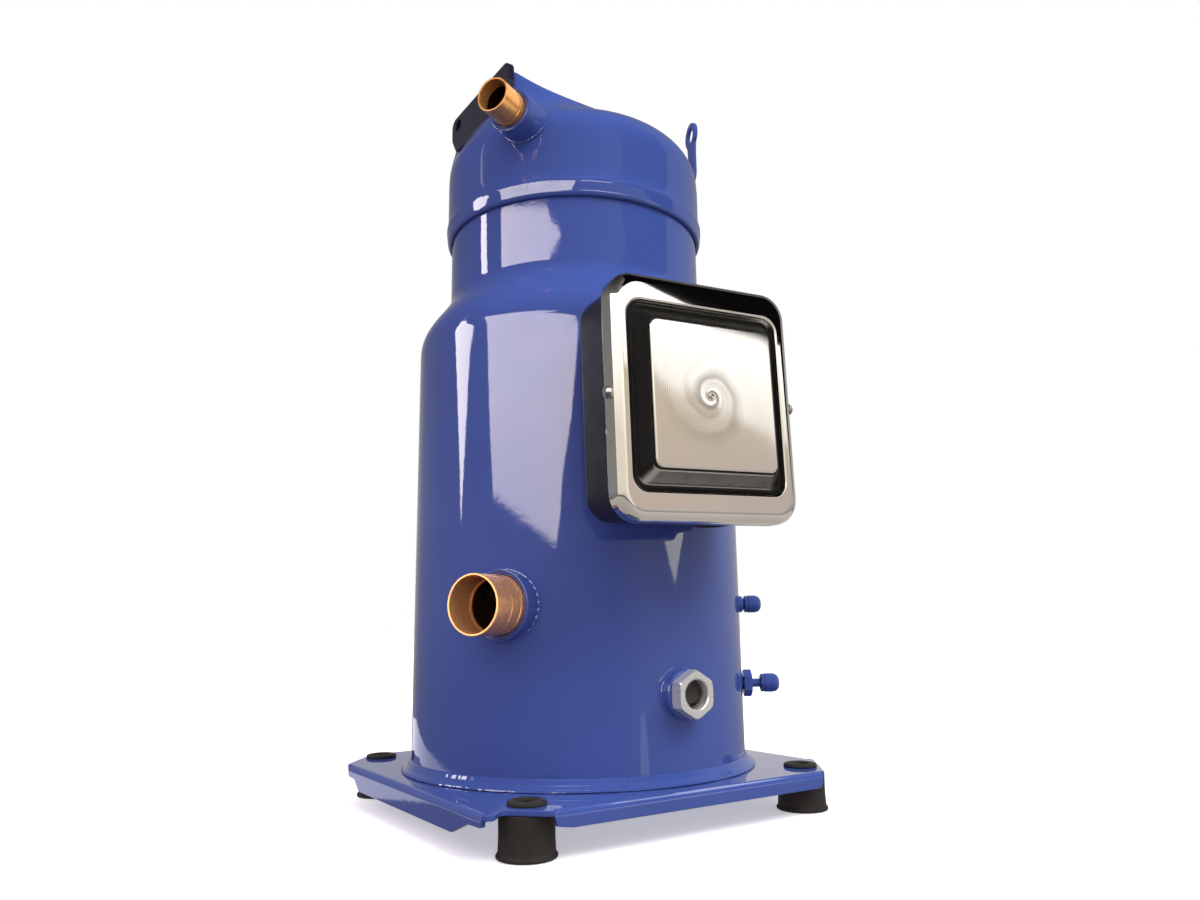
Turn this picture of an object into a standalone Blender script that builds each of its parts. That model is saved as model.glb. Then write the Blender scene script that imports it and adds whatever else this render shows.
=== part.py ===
"""Hermetic scroll compressor, floor standing, about 0.54 m tall.

Metres, +Z up.  The floor is z = 0, under the rubber feet.  Everything hangs from one empty on
the shaft's axis, which stands a little behind the middle of the footprint, because the
terminal box reaches out in front.
"""

import math

import bmesh
import bpy
from mathutils import Matrix, Vector

GAP = 0.0003                    # between pieces that touch on the real machine
TURN = 2 * math.pi

# Where the shaft's axis stands in the part's own frame.
AXIS_X = 0.0
AXIS_Y = 0.0250

# Round pieces: sides of a full turn.
SIDES_SHELL = 48
SIDES_INNER = 32
SIDES_FITTING = 24
SIDES_SMALL = 16

# Shell.
SHELL_R = 0.1215
NECK_R = 0.0989
SHELL_WALL = 0.0035
CAP_R = 0.1022
CAP_WALL = 0.0030
SHELL_FOOT_Z = 0.0283
SHOULDER_Z = 0.330
SHOULDER_RISE = 0.050
SHOULDER_BIAS = 1.25            # above 1 keeps the shoulder full before it falls to the neck
NECK_TOP_Z = 0.452
CAP_EDGE_Z = 0.427
DOME_Z = 0.470
DOME_RISE = 0.0525
DOME_POWER = 2.5                # superellipse, fuller than a sphere

# Raised saddle pressed into the cap, with the two-hole bracket on its end.
SADDLE_X = -0.0845
SADDLE_HALF_Y = 0.050
SADDLE_Z = 0.5370

# Base plate and feet.
PLATE_HALF = 0.142
PLATE_THICK = 0.0032
PLATE_TOP_Z = 0.028
FOOT_X = 0.1085
FOOT_Y = 0.117
FOOT_HOLE_R = 0.0095
FOOT_R = 0.0174

# Copper connections: both leave on parallel lines beside the shaft's axis.
FITTING_AZIMUTH = math.radians(208)
FITTING_OFFSET = 0.0155
SUCTION_Z = 0.140
SUCTION_R = 0.0190
SUCTION_BORE_R = 0.01745
SUCTION_REACH = 0.1546
DISCHARGE_Z = 0.488
DISCHARGE_R = 0.0124
DISCHARGE_BORE_R = 0.0111
DISCHARGE_REACH = 0.1390

# Small fittings round the sump.
SIGHT_AZIMUTH = math.radians(271)
SIGHT_Z = 0.083
PORT_AZIMUTH = math.radians(325)
SERVICE_PORT_Z = 0.141
OIL_PORT_Z = 0.083
LUG_AZIMUTH = math.radians(342)

# Terminal box: local x runs along the shell, y up, z away from the shaft's axis.
BOX_AZIMUTH = math.radians(264.5)
BOX_ROLL = math.radians(1.5)     # the box sits slightly turned on its seat
BOX_Z = 0.2611
BOX_BACK = 0.1265
BOX_FRONT = 0.1760
BOX_HALF_X = 0.0632
BOX_HALF_Y = 0.0728
BOX_DRAFT = 0.0030
BOX_WALL = 0.003
COVER_HALF_X = 0.0660
COVER_HALF_Y = 0.0757
COVER_FACE = 0.1810
COVER_SKIRT = 0.1690
COVER_SHEET = 0.0015
WINDOW_HALF_X = 0.0552
WINDOW_HALF_Y = 0.0577
PANEL_HALF_X = 0.0442
PANEL_HALF_Y = 0.0450
PANEL_FACE = 0.1883
SCREW_DEPTH = 0.1745
SEAT_R = 0.0262

# Scroll set.
ORBIT_R = 0.0055
WRAP_PITCH = 0.019
WRAP_WALL = 0.0034
WRAP_START = 3.0                # involute angle at the centre, radians
WRAP_TURNS = 2.5
WRAP_SIDES = 28                 # facets in each turn of a wrap
ORBIT_PLATE_Z = 0.3885
ORBIT_PLATE_TOP_Z = 0.397
ORBIT_WRAP_TOP_Z = 0.4255
FIXED_WRAP_Z = 0.3975
FIXED_PLATE_Z = 0.4260
FIXED_PLATE_TOP_Z = 0.4400
FRAME_RIM_Z = 0.3989
OLDHAM_KEY_WIDTH = 0.010

# Motor and shaft.
SHAFT_R = 0.0160
STATOR_R = 0.0887
STATOR_Z = 0.165
STATOR_TOP_Z = 0.265
STATOR_BORE_R = 0.0525
ROTOR_R = 0.0517
SLOT_COUNT = 18


def clear_scene():
    for old in list(bpy.data.objects):
        bpy.data.objects.remove(old, do_unlink=True)


# ---------------------------------------------------------------- materials

def finish(name, colour, roughness, metallic):
    material = bpy.data.materials.new(name)
    material.use_nodes = True
    shader = material.node_tree.nodes["Principled BSDF"]
    shader.inputs["Base Color"].default_value = (*colour, 1.0)
    shader.inputs["Roughness"].default_value = roughness
    shader.inputs["Metallic"].default_value = metallic
    return material


def make_finishes():
    return {
        "paint": finish("blue_paint", (0.045, 0.075, 0.36), 0.18, 0.0),
        "copper": finish("copper", (0.72, 0.33, 0.16), 0.30, 1.0),
        "chrome": finish("chromed_steel", (0.78, 0.76, 0.72), 0.12, 1.0),
        "plastic": finish("black_plastic", (0.012, 0.012, 0.013), 0.35, 0.0),
        "rubber": finish("black_rubber", (0.018, 0.015, 0.013), 0.70, 0.0),
        "zinc": finish("zinc_plate", (0.62, 0.61, 0.56), 0.35, 1.0),
        "steel": finish("bright_steel", (0.60, 0.60, 0.60), 0.30, 1.0),
        "iron": finish("cast_iron", (0.22, 0.22, 0.22), 0.60, 1.0),
        "aluminium": finish("cast_aluminium", (0.75, 0.75, 0.76), 0.40, 1.0),
        "bronze": finish("bearing_bronze", (0.60, 0.42, 0.20), 0.35, 1.0),
        "lamination": finish("lamination_steel", (0.30, 0.30, 0.32), 0.50, 1.0),
        "winding": finish("enamelled_copper", (0.55, 0.22, 0.09), 0.35, 0.6),
        "glass": finish("sight_glass", (0.75, 0.80, 0.78), 0.05, 0.0),
    }


# ---------------------------------------------------------------- modelling helpers

def add_object(name, bm, material, parent, smooth_angle=35):
    bmesh.ops.recalc_face_normals(bm, faces=bm.faces)
    mesh = bpy.data.meshes.new(name)
    bm.to_mesh(mesh)
    bm.free()
    mesh.shade_smooth()
    mesh.set_sharp_from_angle(angle=math.radians(smooth_angle))
    mesh.materials.append(material)
    made = bpy.data.objects.new(name, mesh)
    bpy.context.scene.collection.objects.link(made)
    made.parent = parent
    return made


def turned_bmesh(outline, sides, closed):
    """Spin an outline of (radius, height) round local Z."""
    bm = bmesh.new()
    ring = [bm.verts.new((radius, 0.0, height)) for radius, height in outline]
    edges = [bm.edges.new(pair) for pair in zip(ring, ring[1:])]
    if closed:
        edges.append(bm.edges.new((ring[-1], ring[0])))
    bmesh.ops.spin(bm, geom=ring + edges, axis=(0, 0, 1), cent=(0, 0, 0), angle=TURN, steps=sides)
    bmesh.ops.remove_doubles(bm, verts=bm.verts, dist=1e-6)
    return bm


def turned_ring(name, outline, material, parent, sides=SIDES_INNER):
    """A turned piece with a hole through it: the outline closes on itself."""
    return add_object(name, turned_bmesh(outline, sides, True), material, parent)


def turned_solid(name, outline, material, parent, sides=SIDES_INNER):
    """A turned piece without a hole: the outline starts and ends on the axis."""
    return add_object(name, turned_bmesh(outline, sides, False), material, parent)


def tube(name, inner, outer, low, high, material, parent, sides=SIDES_INNER):
    outline = [(inner, low), (outer, low), (outer, high), (inner, high)]
    return turned_ring(name, outline, material, parent, sides)


def disc(name, radius, low, high, material, parent, sides=SIDES_INNER):
    outline = [(0, low), (radius, low), (radius, high), (0, high)]
    return turned_solid(name, outline, material, parent, sides)


def prism(name, outline, low, high, material, parent):
    """Raise a flat outline of (x, y) points from low to high."""
    bm = bmesh.new()
    face = bm.faces.new([bm.verts.new((x, y, low)) for x, y in outline])
    raised = bmesh.ops.extrude_face_region(bm, geom=[face])["geom"]
    tops = [item for item in raised if isinstance(item, bmesh.types.BMVert)]
    bmesh.ops.translate(bm, verts=tops, vec=(0, 0, high - low))
    return add_object(name, bm, material, parent)


def box(name, low, high, material, parent):
    outline = [(low[0], low[1]), (high[0], low[1]), (high[0], high[1]), (low[0], high[1])]
    return prism(name, outline, low[2], high[2], material, parent)


def circle(radius, sides, centre=(0.0, 0.0), first=0.0):
    return [
        (
            centre[0] + radius * math.cos(first + TURN * step / sides),
            centre[1] + radius * math.sin(first + TURN * step / sides),
        )
        for step in range(sides)
    ]


def rounded_rectangle(half_x, half_y, radius, steps=4, centre=(0.0, 0.0)):
    """Corners as arcs, anticlockwise from the right-hand one."""
    points = []
    for corner, (side_x, side_y) in enumerate([(1, 1), (-1, 1), (-1, -1), (1, -1)]):
        for step in range(steps + 1):
            turn = math.pi / 2 * (corner + step / steps)
            points.append((
                centre[0] + side_x * (half_x - radius) + radius * math.cos(turn),
                centre[1] + side_y * (half_y - radius) + radius * math.sin(turn),
            ))
    return points


def lofted(name, loops, material, parent, ring=False):
    """Bridge loops of (x, y, z) points; a ring closes on its first loop, else both ends are capped."""
    bm = bmesh.new()
    rows = [[bm.verts.new(point) for point in loop] for loop in loops]
    pairs = list(zip(rows, rows[1:]))
    if ring:
        pairs.append((rows[-1], rows[0]))
    for lower, upper in pairs:
        for index, corner in enumerate(lower):
            after = (index + 1) % len(lower)
            bm.faces.new([corner, lower[after], upper[after], upper[index]])
    if not ring:
        bm.faces.new(rows[0])
        bm.faces.new(rows[-1])
    return add_object(name, bm, material, parent)


def frame_loop(half_x, half_y, radius, depth):
    return [(x, y, depth) for x, y in rounded_rectangle(half_x, half_y, radius)]


def as_tool(made):
    """Hide a piece that only cuts or joins another."""
    made.hide_render = True
    made.display_type = "WIRE"
    return made


def combine(target, tool, operation):
    as_tool(tool)
    modifier = target.modifiers.new(operation.lower() + "_" + tool.name, "BOOLEAN")
    modifier.operation = operation
    modifier.solver = "EXACT"
    modifier.object = tool


def cut(target, tool):
    combine(target, tool, "DIFFERENCE")


def join(target, tool):
    combine(target, tool, "UNION")


def round_edges(made, width, segments, angle):
    modifier = made.modifiers.new("rounded_edges", "BEVEL")
    modifier.width = width
    modifier.segments = segments
    modifier.limit_method = "ANGLE"
    modifier.angle_limit = math.radians(angle)


def add_empty(name, parent, location=(0, 0, 0), rotation=(0, 0, 0)):
    made = bpy.data.objects.new(name, None)
    bpy.context.scene.collection.objects.link(made)
    made.parent = parent
    made.location = location
    made.rotation_euler = rotation
    return made


def outward(name, root, azimuth, height, offset=0.0, roll=0.0):
    """An empty on the shaft's axis whose z points out at an azimuth, y up, x along the shell."""
    sideways = Vector((-math.sin(azimuth), math.cos(azimuth), 0)) * offset
    made = add_empty(name, root, (sideways.x, sideways.y, height))
    turn = Matrix.Rotation(azimuth + math.pi / 2, 3, "Z") @ Matrix.Rotation(math.pi / 2, 3, "X")
    made.rotation_euler = (turn @ Matrix.Rotation(roll, 3, "Z")).to_euler()
    return made


# ---------------------------------------------------------------- shell

def shoulder_radius(height):
    """Outer radius of the shell where it draws in from the body to the neck."""
    share = min(max((height - SHOULDER_Z) / SHOULDER_RISE, 0.0), 1.0) ** SHOULDER_BIAS
    return SHELL_R - (SHELL_R - NECK_R) * (1 - math.cos(math.pi * share)) / 2


def make_shell_body(root, finishes):
    heights = [SHOULDER_Z + SHOULDER_RISE * step / 6 for step in range(7)]
    outer = [(shoulder_radius(height), height) for height in heights]
    inner = [(radius - SHELL_WALL, height - SHELL_WALL / 2) for radius, height in outer]
    outline = [(SHELL_R - SHELL_WALL, SHELL_FOOT_Z), (SHELL_R, SHELL_FOOT_Z)]
    outline += outer
    outline += [(NECK_R, NECK_TOP_Z), (NECK_R - SHELL_WALL, NECK_TOP_Z)]
    outline += inner[::-1]
    return turned_ring("shell_body", outline, finishes["paint"], root, SIDES_SHELL)


def make_bottom_cap(root, finishes):
    rim_r = SHELL_R - SHELL_WALL - GAP
    low = SHELL_FOOT_Z + GAP
    outline = [
        (0, low + 0.004), (rim_r - 0.020, low), (rim_r, low), (rim_r, low + 0.018),
        (rim_r - 0.004, low + 0.018), (rim_r - 0.004, low + 0.008),
        (rim_r - 0.022, low + 0.004), (0, low + 0.008),
    ]
    turned_solid("bottom_cap", outline, finishes["iron"], root, SIDES_INNER)


def make_foot_weld(root, finishes):
    inner = SHELL_R + GAP
    low = PLATE_TOP_Z + GAP
    outline = [
        (inner, low), (inner + 0.0065, low), (inner + 0.0055, low + 0.0012),
        (inner + 0.0022, low + 0.0030), (inner + 0.0008, low + 0.0065), (inner, low + 0.0070),
    ]
    turned_ring("foot_weld", outline, finishes["paint"], root, SIDES_SHELL)


def dome_profile(radius, rise, steps):
    """Superellipse from the dome's edge up to its crown."""
    points = []
    for step in range(steps + 1):
        turn = math.pi / 2 * step / steps
        across = math.cos(turn) ** (2 / DOME_POWER) if step < steps else 0.0
        points.append((radius * across, DOME_Z + rise * math.sin(turn) ** (2 / DOME_POWER)))
    return points


def saddle_outline(inset):
    """Side view of the saddle, (x, z), shrunk by the wall for its hollow."""
    return [
        (SADDLE_X + inset, DOME_Z - 0.002),
        (0.031 - inset, DOME_Z - 0.002),
        (0.031 - inset, 0.5185 - inset),
        (0.006, 0.5265 - inset),
        (-0.020, 0.5315 - inset),
        (-0.052, 0.5345 - inset),
        (SADDLE_X + inset, SADDLE_Z - inset),
    ]


def make_saddle(name, inset, material, root):
    half_y = SADDLE_HALF_Y - inset
    made = prism(name, saddle_outline(inset), -half_y, half_y, material, root)
    made.rotation_euler = (math.pi / 2, 0, 0)
    round_edges(made, 0.007 - inset, 2, 40)
    return made


def make_top_cap(root, finishes):
    material = finishes["paint"]
    outline = [(0, CAP_EDGE_Z + 0.010), (CAP_R, CAP_EDGE_Z + 0.010)]
    outline += dome_profile(CAP_R, DOME_RISE, 7)
    cap = turned_solid("top_cap", outline, material, root, SIDES_SHELL)
    join(cap, make_saddle("saddle_outside", 0.0, material, root))
    skirt = [
        (NECK_R + GAP, CAP_EDGE_Z), (CAP_R - 0.0008, CAP_EDGE_Z), (CAP_R, CAP_EDGE_Z + 0.0015),
        (CAP_R, CAP_EDGE_Z + 0.012), (NECK_R + GAP, CAP_EDGE_Z + 0.012),
    ]
    join(cap, turned_ring("cap_skirt", skirt, material, root, SIDES_SHELL))
    inside_r = NECK_R + GAP
    hollow = [(0, CAP_EDGE_Z - 0.010), (inside_r, CAP_EDGE_Z - 0.010)]
    hollow += dome_profile(inside_r, DOME_RISE - CAP_WALL, 7)
    cut(cap, turned_solid("cap_hollow", hollow, material, root, SIDES_SHELL))
    cut(cap, make_saddle("saddle_inside", CAP_WALL + 0.001, material, root))
    return cap


def make_cap_bracket(root, finishes):
    """Upright plate on the saddle's end with a hole near each top corner."""
    centre_y = -0.004
    half_width = 0.050
    low = 0.5090
    high = 0.5395
    corner_r = 0.008
    outline = [(-half_width, 0.522), (-half_width + 0.008, low), (half_width - 0.008, low), (half_width, 0.522)]
    for side in (1, -1):
        for step in range(5):
            turn = math.pi / 2 * (step / 4 if side > 0 else 1 + step / 4)
            outline.append((
                side * (half_width - corner_r) + corner_r * math.cos(turn),
                high - corner_r + corner_r * math.sin(turn),
            ))
    plate = add_empty("bracket_plane", root, (SADDLE_X - GAP, centre_y, 0), (math.pi / 2, 0, -math.pi / 2))
    bracket = prism("cap_bracket", outline, 0, 0.005, finishes["paint"], plate)
    for side in (-1, 1):
        eye = prism(
            f"bracket_eye_{side}", circle(0.0047, SIDES_SMALL, (side * 0.038, 0.5310)),
            -0.01, 0.02, finishes["paint"], plate,
        )
        cut(bracket, eye)


def make_lifting_lug(root, finishes):
    """Strap on the cap's side: wide welded foot, a small set outward, and an eye on a narrow neck."""
    thick = 0.003
    foot = CAP_R + GAP
    head = 0.1055
    eye_z = 0.548
    stations = [(foot, 0.4520), (foot, 0.4980), (head, 0.5080), (head, eye_z + 0.0120)]
    face = [(radius, height) for radius, height in stations]
    back = [(radius + thick, height) for radius, height in stations[::-1]]
    holder = add_empty("lug_plane", root, (0, 0, 0), (math.pi / 2, 0, LUG_AZIMUTH))
    lug = prism("lifting_lug", face + back, -0.0125, 0.0125, finishes["paint"], holder)
    look = outward("lug_look", root, LUG_AZIMUTH, 0.0)
    neck = 0.0062
    shape = [(-neck, 0.4980), (-0.0115, 0.4900), (-0.0115, 0.4500), (0.0115, 0.4500), (0.0115, 0.4900), (neck, 0.4980)]
    turns = [math.radians(-53 + 286 * step / 18) for step in range(19)]
    shape += [(0.0112 * math.cos(turn), eye_z + 0.0112 * math.sin(turn)) for turn in turns]
    keep = prism("lug_outline", shape, 0.08, 0.12, finishes["paint"], look)
    combine(lug, keep, "INTERSECT")
    cut(lug, prism("lug_eye", circle(0.0064, SIDES_SMALL, (0, eye_z)), 0.08, 0.12, finishes["paint"], look))


# ---------------------------------------------------------------- base and feet

def soften(turns, steps=3):
    """Round a polygon's turns, each given as (x, y, how far back the bend starts)."""
    points = []
    for index, (x, y, back) in enumerate(turns):
        turn = Vector((x, y))
        before = Vector(turns[index - 1][:2]) - turn
        after = Vector(turns[(index + 1) % len(turns)][:2]) - turn
        start = turn + before.normalized() * back
        end = turn + after.normalized() * back
        for step in range(steps + 1):
            share = step / steps
            bend = start.lerp(turn, share).lerp(turn.lerp(end, share), share)
            points.append((bend.x, bend.y))
    return points


def plate_outline():
    """Corners cut back to show the feet; the same again after half a turn."""
    half = PLATE_HALF
    turns = [
        (-half, 0.098, 0.006), (-half, -0.1300, 0.0020), (-0.1365, -0.1318, 0.0020),
        (-0.1265, -0.1215, 0.004), (-0.106, -half, 0.004), (0.106, -half, 0.004),
    ]
    return soften(turns + [(-x, -y, back) for x, y, back in turns])


def make_base_plate(root, finishes):
    """Pressed plate: its X edges turn down deep with shallow ends, its Y edges a little less."""
    material = finishes["paint"]
    low = PLATE_TOP_Z - PLATE_THICK
    hidden = low + 0.0010
    plate = prism("base_plate", plate_outline(), low, PLATE_TOP_Z, material, root)
    sheet = PLATE_THICK - 0.0001
    out = PLATE_HALF - 0.0001 - sheet
    wings = {
        "x": [
            (-0.0945, hidden), (-0.0945, 0.0215), (-0.0925, 0.0200), (-0.0800, 0.0195), (-0.0700, 0.0125),
            (0.0880, 0.0125), (0.1090, 0.0203), (0.1255, 0.0208), (0.1275, 0.0220), (0.1275, hidden),
        ],
        "y": [
            (-0.1035, hidden), (-0.1035, 0.0195), (-0.0930, 0.0178), (0.1015, 0.0174), (0.1035, 0.0190),
            (0.1035, hidden),
        ],
    }
    for side in (0, 1):
        for name, quarter in (("x", 1), ("y", 0)):
            turn = math.pi * side - math.pi / 2 * quarter
            place = (out * math.sin(turn), -out * math.cos(turn), 0)
            holder = add_empty(f"flange_plane_{name}{side}", root, place, (math.pi / 2, 0, turn))
            join(plate, prism(f"flange_{name}{side}", wings[name], 0, sheet, material, holder))
    for index, (side_x, side_y) in enumerate([(-1, -1), (1, -1), (1, 1), (-1, 1)]):
        hole = circle(FOOT_HOLE_R, SIDES_SMALL, (side_x * FOOT_X, side_y * FOOT_Y))
        cut(plate, prism(f"foot_hole_{index}", hole, 0, 0.05, material, root))


def make_grommet(name, root, x, y, finishes):
    """Rubber foot: flared block under the plate, waist in the hole, lip on top, bolt hole through."""
    bore = 0.0056
    waist = FOOT_HOLE_R - GAP
    plate_low = PLATE_TOP_Z - PLATE_THICK
    outline = [
        (bore, 0), (FOOT_R - 0.0008, 0), (FOOT_R, 0.0012), (FOOT_R - 0.0010, 0.0040),
        (FOOT_R - 0.0012, plate_low - GAP), (waist, plate_low - GAP), (waist, PLATE_TOP_Z + GAP),
        (0.0115, PLATE_TOP_Z + GAP), (0.0108, PLATE_TOP_Z + 0.0026), (bore + 0.0015, PLATE_TOP_Z + 0.0026),
        (bore, PLATE_TOP_Z + 0.0012),
    ]
    made = turned_ring(name, outline, finishes["rubber"], root, SIDES_SMALL)
    made.location = (x, y, 0)


# ---------------------------------------------------------------- copper connections

def bore_through(target, holder, radius, near, far, name, material):
    cut(target, prism(name, circle(radius, SIDES_FITTING), near, far, material, holder))


def make_suction(root, shell, finishes):
    holder = outward("suction_axis", root, FITTING_AZIMUTH, SUCTION_Z, FITTING_OFFSET)
    boss_r = 0.0225
    bore_through(shell, holder, boss_r + GAP, 0.08, 0.16, "suction_hole", finishes["paint"])
    outline = [
        (SUCTION_R + GAP, 0.1120), (boss_r, 0.1120), (boss_r, 0.1262),
        (boss_r - 0.0012, 0.1275), (SUCTION_R + GAP, 0.1275),
    ]
    turned_ring("suction_boss", outline, finishes["paint"], holder, SIDES_FITTING)
    stop = 0.1330
    outline = [
        (0.0158, 0.1080), (SUCTION_R, 0.1080), (SUCTION_R, SUCTION_REACH - 0.0006),
        (SUCTION_R - 0.0004, SUCTION_REACH), (SUCTION_BORE_R, SUCTION_REACH),
        (SUCTION_BORE_R, stop), (0.0158, stop),
    ]
    turned_ring("suction_stub", outline, finishes["copper"], holder, SIDES_FITTING)


def make_discharge(root, cap, finishes):
    holder = outward("discharge_axis", root, FITTING_AZIMUTH, DISCHARGE_Z, FITTING_OFFSET)
    boss_r = 0.0165
    bore_through(cap, holder, boss_r + GAP, 0.066, 0.16, "discharge_hole", finishes["paint"])
    outline = [
        (DISCHARGE_R + GAP, 0.0795), (boss_r, 0.0795), (boss_r, 0.1045),
        (boss_r - 0.0022, 0.1075), (DISCHARGE_R + GAP, 0.1075),
    ]
    turned_ring("discharge_boss", outline, finishes["paint"], holder, SIDES_FITTING)
    stop = 0.1190
    outline = [
        (0.0098, 0.0760), (DISCHARGE_R, 0.0760), (DISCHARGE_R, DISCHARGE_REACH - 0.0006),
        (DISCHARGE_R - 0.0004, DISCHARGE_REACH), (DISCHARGE_BORE_R, DISCHARGE_REACH),
        (DISCHARGE_BORE_R, stop), (0.0098, stop),
    ]
    turned_ring("discharge_stub", outline, finishes["copper"], holder, SIDES_FITTING)


# ---------------------------------------------------------------- sight glass and ports

def make_sight_glass(root, shell, finishes):
    holder = outward("sight_axis", root, SIGHT_AZIMUTH, SIGHT_Z)
    boss_r = 0.0158
    bore_through(shell, holder, boss_r + GAP, 0.09, 0.15, "sight_hole", finishes["paint"])
    outline = [
        (0.0129, 0.1120), (boss_r, 0.1120), (boss_r, 0.1260), (boss_r - 0.0010, 0.1270), (0.0129, 0.1270),
    ]
    turned_ring("sight_glass_boss", outline, finishes["paint"], holder, SIDES_FITTING)
    zinc = finishes["zinc"]
    body = prism("sight_glass_body", circle(0.0154, 6, first=math.pi / 6), 0.1273, 0.1359, zinc, holder)
    join(body, prism("sight_shank", circle(0.0126, SIDES_FITTING), 0.1130, 0.1280, zinc, holder))
    cut(body, prism("sight_bore", circle(0.0080, SIDES_FITTING), 0.10, 0.15, zinc, holder))
    cut(body, prism("sight_seat", circle(0.0103, SIDES_FITTING), 0.1265, 0.15, zinc, holder))
    disc("sight_glass_lens", 0.0100, 0.1268, 0.1312, finishes["glass"], holder, SIDES_FITTING)


def make_port_cap(name, holder, low, high, radius, bore, material):
    """Domed screw cap, hollow from its open end."""
    outline = [
        (0, high), (radius * 0.55, high - 0.0004), (radius * 0.88, high - 0.0022),
        (radius, high - 0.0048), (radius, low + 0.0015), (radius - 0.0010, low), (bore, low),
        (bore, high - 0.0035), (0, high - 0.0035),
    ]
    turned_solid(name, outline, material, holder, SIDES_SMALL)


def make_port_core(name, holder, low, high, material):
    outline = [(0, low), (0.0016, low), (0.0016, high - 0.004), (0.0009, high - 0.003), (0.0009, high), (0, high)]
    turned_solid(name, outline, material, holder, SIDES_SMALL // 2)


def make_service_port(root, shell, finishes):
    holder = outward("service_axis", root, PORT_AZIMUTH, SERVICE_PORT_Z)
    bore_through(shell, holder, 0.0062 + GAP, 0.10, 0.14, "service_hole", finishes["paint"])
    outline = [
        (0.0022, 0.1170), (0.0062, 0.1170), (0.0062, 0.1238), (0.0050, 0.1252),
        (0.0040, 0.1256), (0.0040, 0.1340), (0.0022, 0.1340),
    ]
    turned_ring("service_port_body", outline, finishes["paint"], holder, SIDES_SMALL)
    make_port_core("service_port_core", holder, 0.1220, 0.1335, finishes["steel"])
    make_port_cap("service_port_cap", holder, 0.1262, 0.1390, 0.0064, 0.0043, finishes["paint"])


def make_oil_port(root, shell, finishes):
    holder = outward("oil_axis", root, PORT_AZIMUTH, OIL_PORT_Z)
    bore_through(shell, holder, 0.0068 + GAP, 0.10, 0.14, "oil_hole", finishes["paint"])
    outline = [
        (0.0022, 0.1170), (0.0068, 0.1170), (0.0068, 0.1222), (0.0046, 0.1228), (0.0046, 0.1292),
        (0.0031, 0.1302), (0.0031, 0.1372), (0.0046, 0.1380), (0.0046, 0.1440), (0.0022, 0.1440),
    ]
    turned_ring("oil_port_body", outline, finishes["paint"], holder, SIDES_SMALL)
    nut = prism("oil_port_nut", circle(0.0098, 6), 0.1233, 0.1292, finishes["paint"], holder)
    cut(nut, prism("nut_bore", circle(0.0046 + GAP, SIDES_SMALL), 0.12, 0.13, finishes["paint"], holder))
    make_port_core("oil_port_core", holder, 0.1300, 0.1435, finishes["steel"])
    make_port_cap("oil_port_cap", holder, 0.1360, 0.1500, 0.0068, 0.0049, finishes["paint"])


# ---------------------------------------------------------------- terminal box

def make_box_body(holder, finishes):
    material = finishes["plastic"]
    back_x = BOX_HALF_X - BOX_DRAFT
    back_y = BOX_HALF_Y - BOX_DRAFT
    wall = BOX_WALL
    loops = [
        frame_loop(back_x - wall, back_y - wall, 0.013, BOX_BACK + wall),
        frame_loop(BOX_HALF_X - wall, BOX_HALF_Y - wall, 0.013, BOX_FRONT),
        frame_loop(BOX_HALF_X, BOX_HALF_Y, 0.016, BOX_FRONT),
        frame_loop(back_x + 0.002, back_y + 0.002, 0.016, BOX_BACK + 0.008),
        frame_loop(back_x - 0.005, back_y - 0.005, 0.013, BOX_BACK),
    ]
    body = lofted("terminal_box_body", loops, material, holder)
    bore_through(body, holder, SEAT_R + 0.0008, 0.12, 0.14, "seat_hole", material)
    for side in (-1, 1):
        # A slot open at the front edge lets the cover draw off with its screws in place.
        low_x, high_x = sorted((side * 0.050, side * 0.070))
        cut(body, box(f"screw_slot_{side}", (low_x, -0.0026, SCREW_DEPTH - 0.0030), (high_x, 0.0026, 0.19), material, holder))
    entry = add_empty("entry_axis", holder, (0.018, -BOX_HALF_Y + 0.010, 0.152), (math.pi / 2, 0, 0))
    cut(body, prism("entry_hole", circle(0.0125, SIDES_SMALL), -0.004, 0.02, material, entry))
    return entry


def make_cable_grommet(entry, finishes):
    """Rubber ring with a thin skin where the supply cable enters."""
    outline = [
        (0, 0.0060), (0.0085, 0.0060), (0.0100, 0.0040), (0.0122, 0.0040), (0.0122, 0.0125), (0.0100, 0.0140),
        (0.0075, 0.0140), (0.0070, 0.0075), (0, 0.0075),
    ]
    turned_solid("cable_grommet", outline, finishes["rubber"], entry, SIDES_SMALL)


def make_cover_rim(cover, finishes):
    """Stamped frame: a skirt over the box, a rounded edge and a flat face with a square window."""
    material = finishes["chrome"]
    sheet = COVER_SHEET
    loops = [
        frame_loop(COVER_HALF_X, COVER_HALF_Y, 0.0180, COVER_SKIRT),
        frame_loop(COVER_HALF_X, COVER_HALF_Y, 0.0180, COVER_FACE - 0.0045),
        frame_loop(COVER_HALF_X - 0.0014, COVER_HALF_Y - 0.0014, 0.0168, COVER_FACE - 0.0014),
        frame_loop(COVER_HALF_X - 0.0045, COVER_HALF_Y - 0.0045, 0.0140, COVER_FACE),
        frame_loop(WINDOW_HALF_X, WINDOW_HALF_Y, 0.0100, COVER_FACE),
        frame_loop(WINDOW_HALF_X, WINDOW_HALF_Y, 0.0100, COVER_FACE - sheet),
        frame_loop(COVER_HALF_X - 0.0050, COVER_HALF_Y - 0.0050, 0.0135, COVER_FACE - sheet),
        frame_loop(COVER_HALF_X - sheet, COVER_HALF_Y - sheet, 0.0168, COVER_FACE - 0.0050),
        frame_loop(COVER_HALF_X - sheet, COVER_HALF_Y - sheet, 0.0168, COVER_SKIRT),
    ]
    rim = lofted("cover_rim", loops, material, cover, ring=True)
    for side in (-1, 1):
        across = add_empty(f"rim_screw_axis_{side}", cover, (0, 0, SCREW_DEPTH), (0, side * math.pi / 2, 0))
        cut(rim, prism(f"rim_screw_hole_{side}", circle(0.0023, SIDES_SMALL), 0.055, 0.075, material, across))


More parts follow.
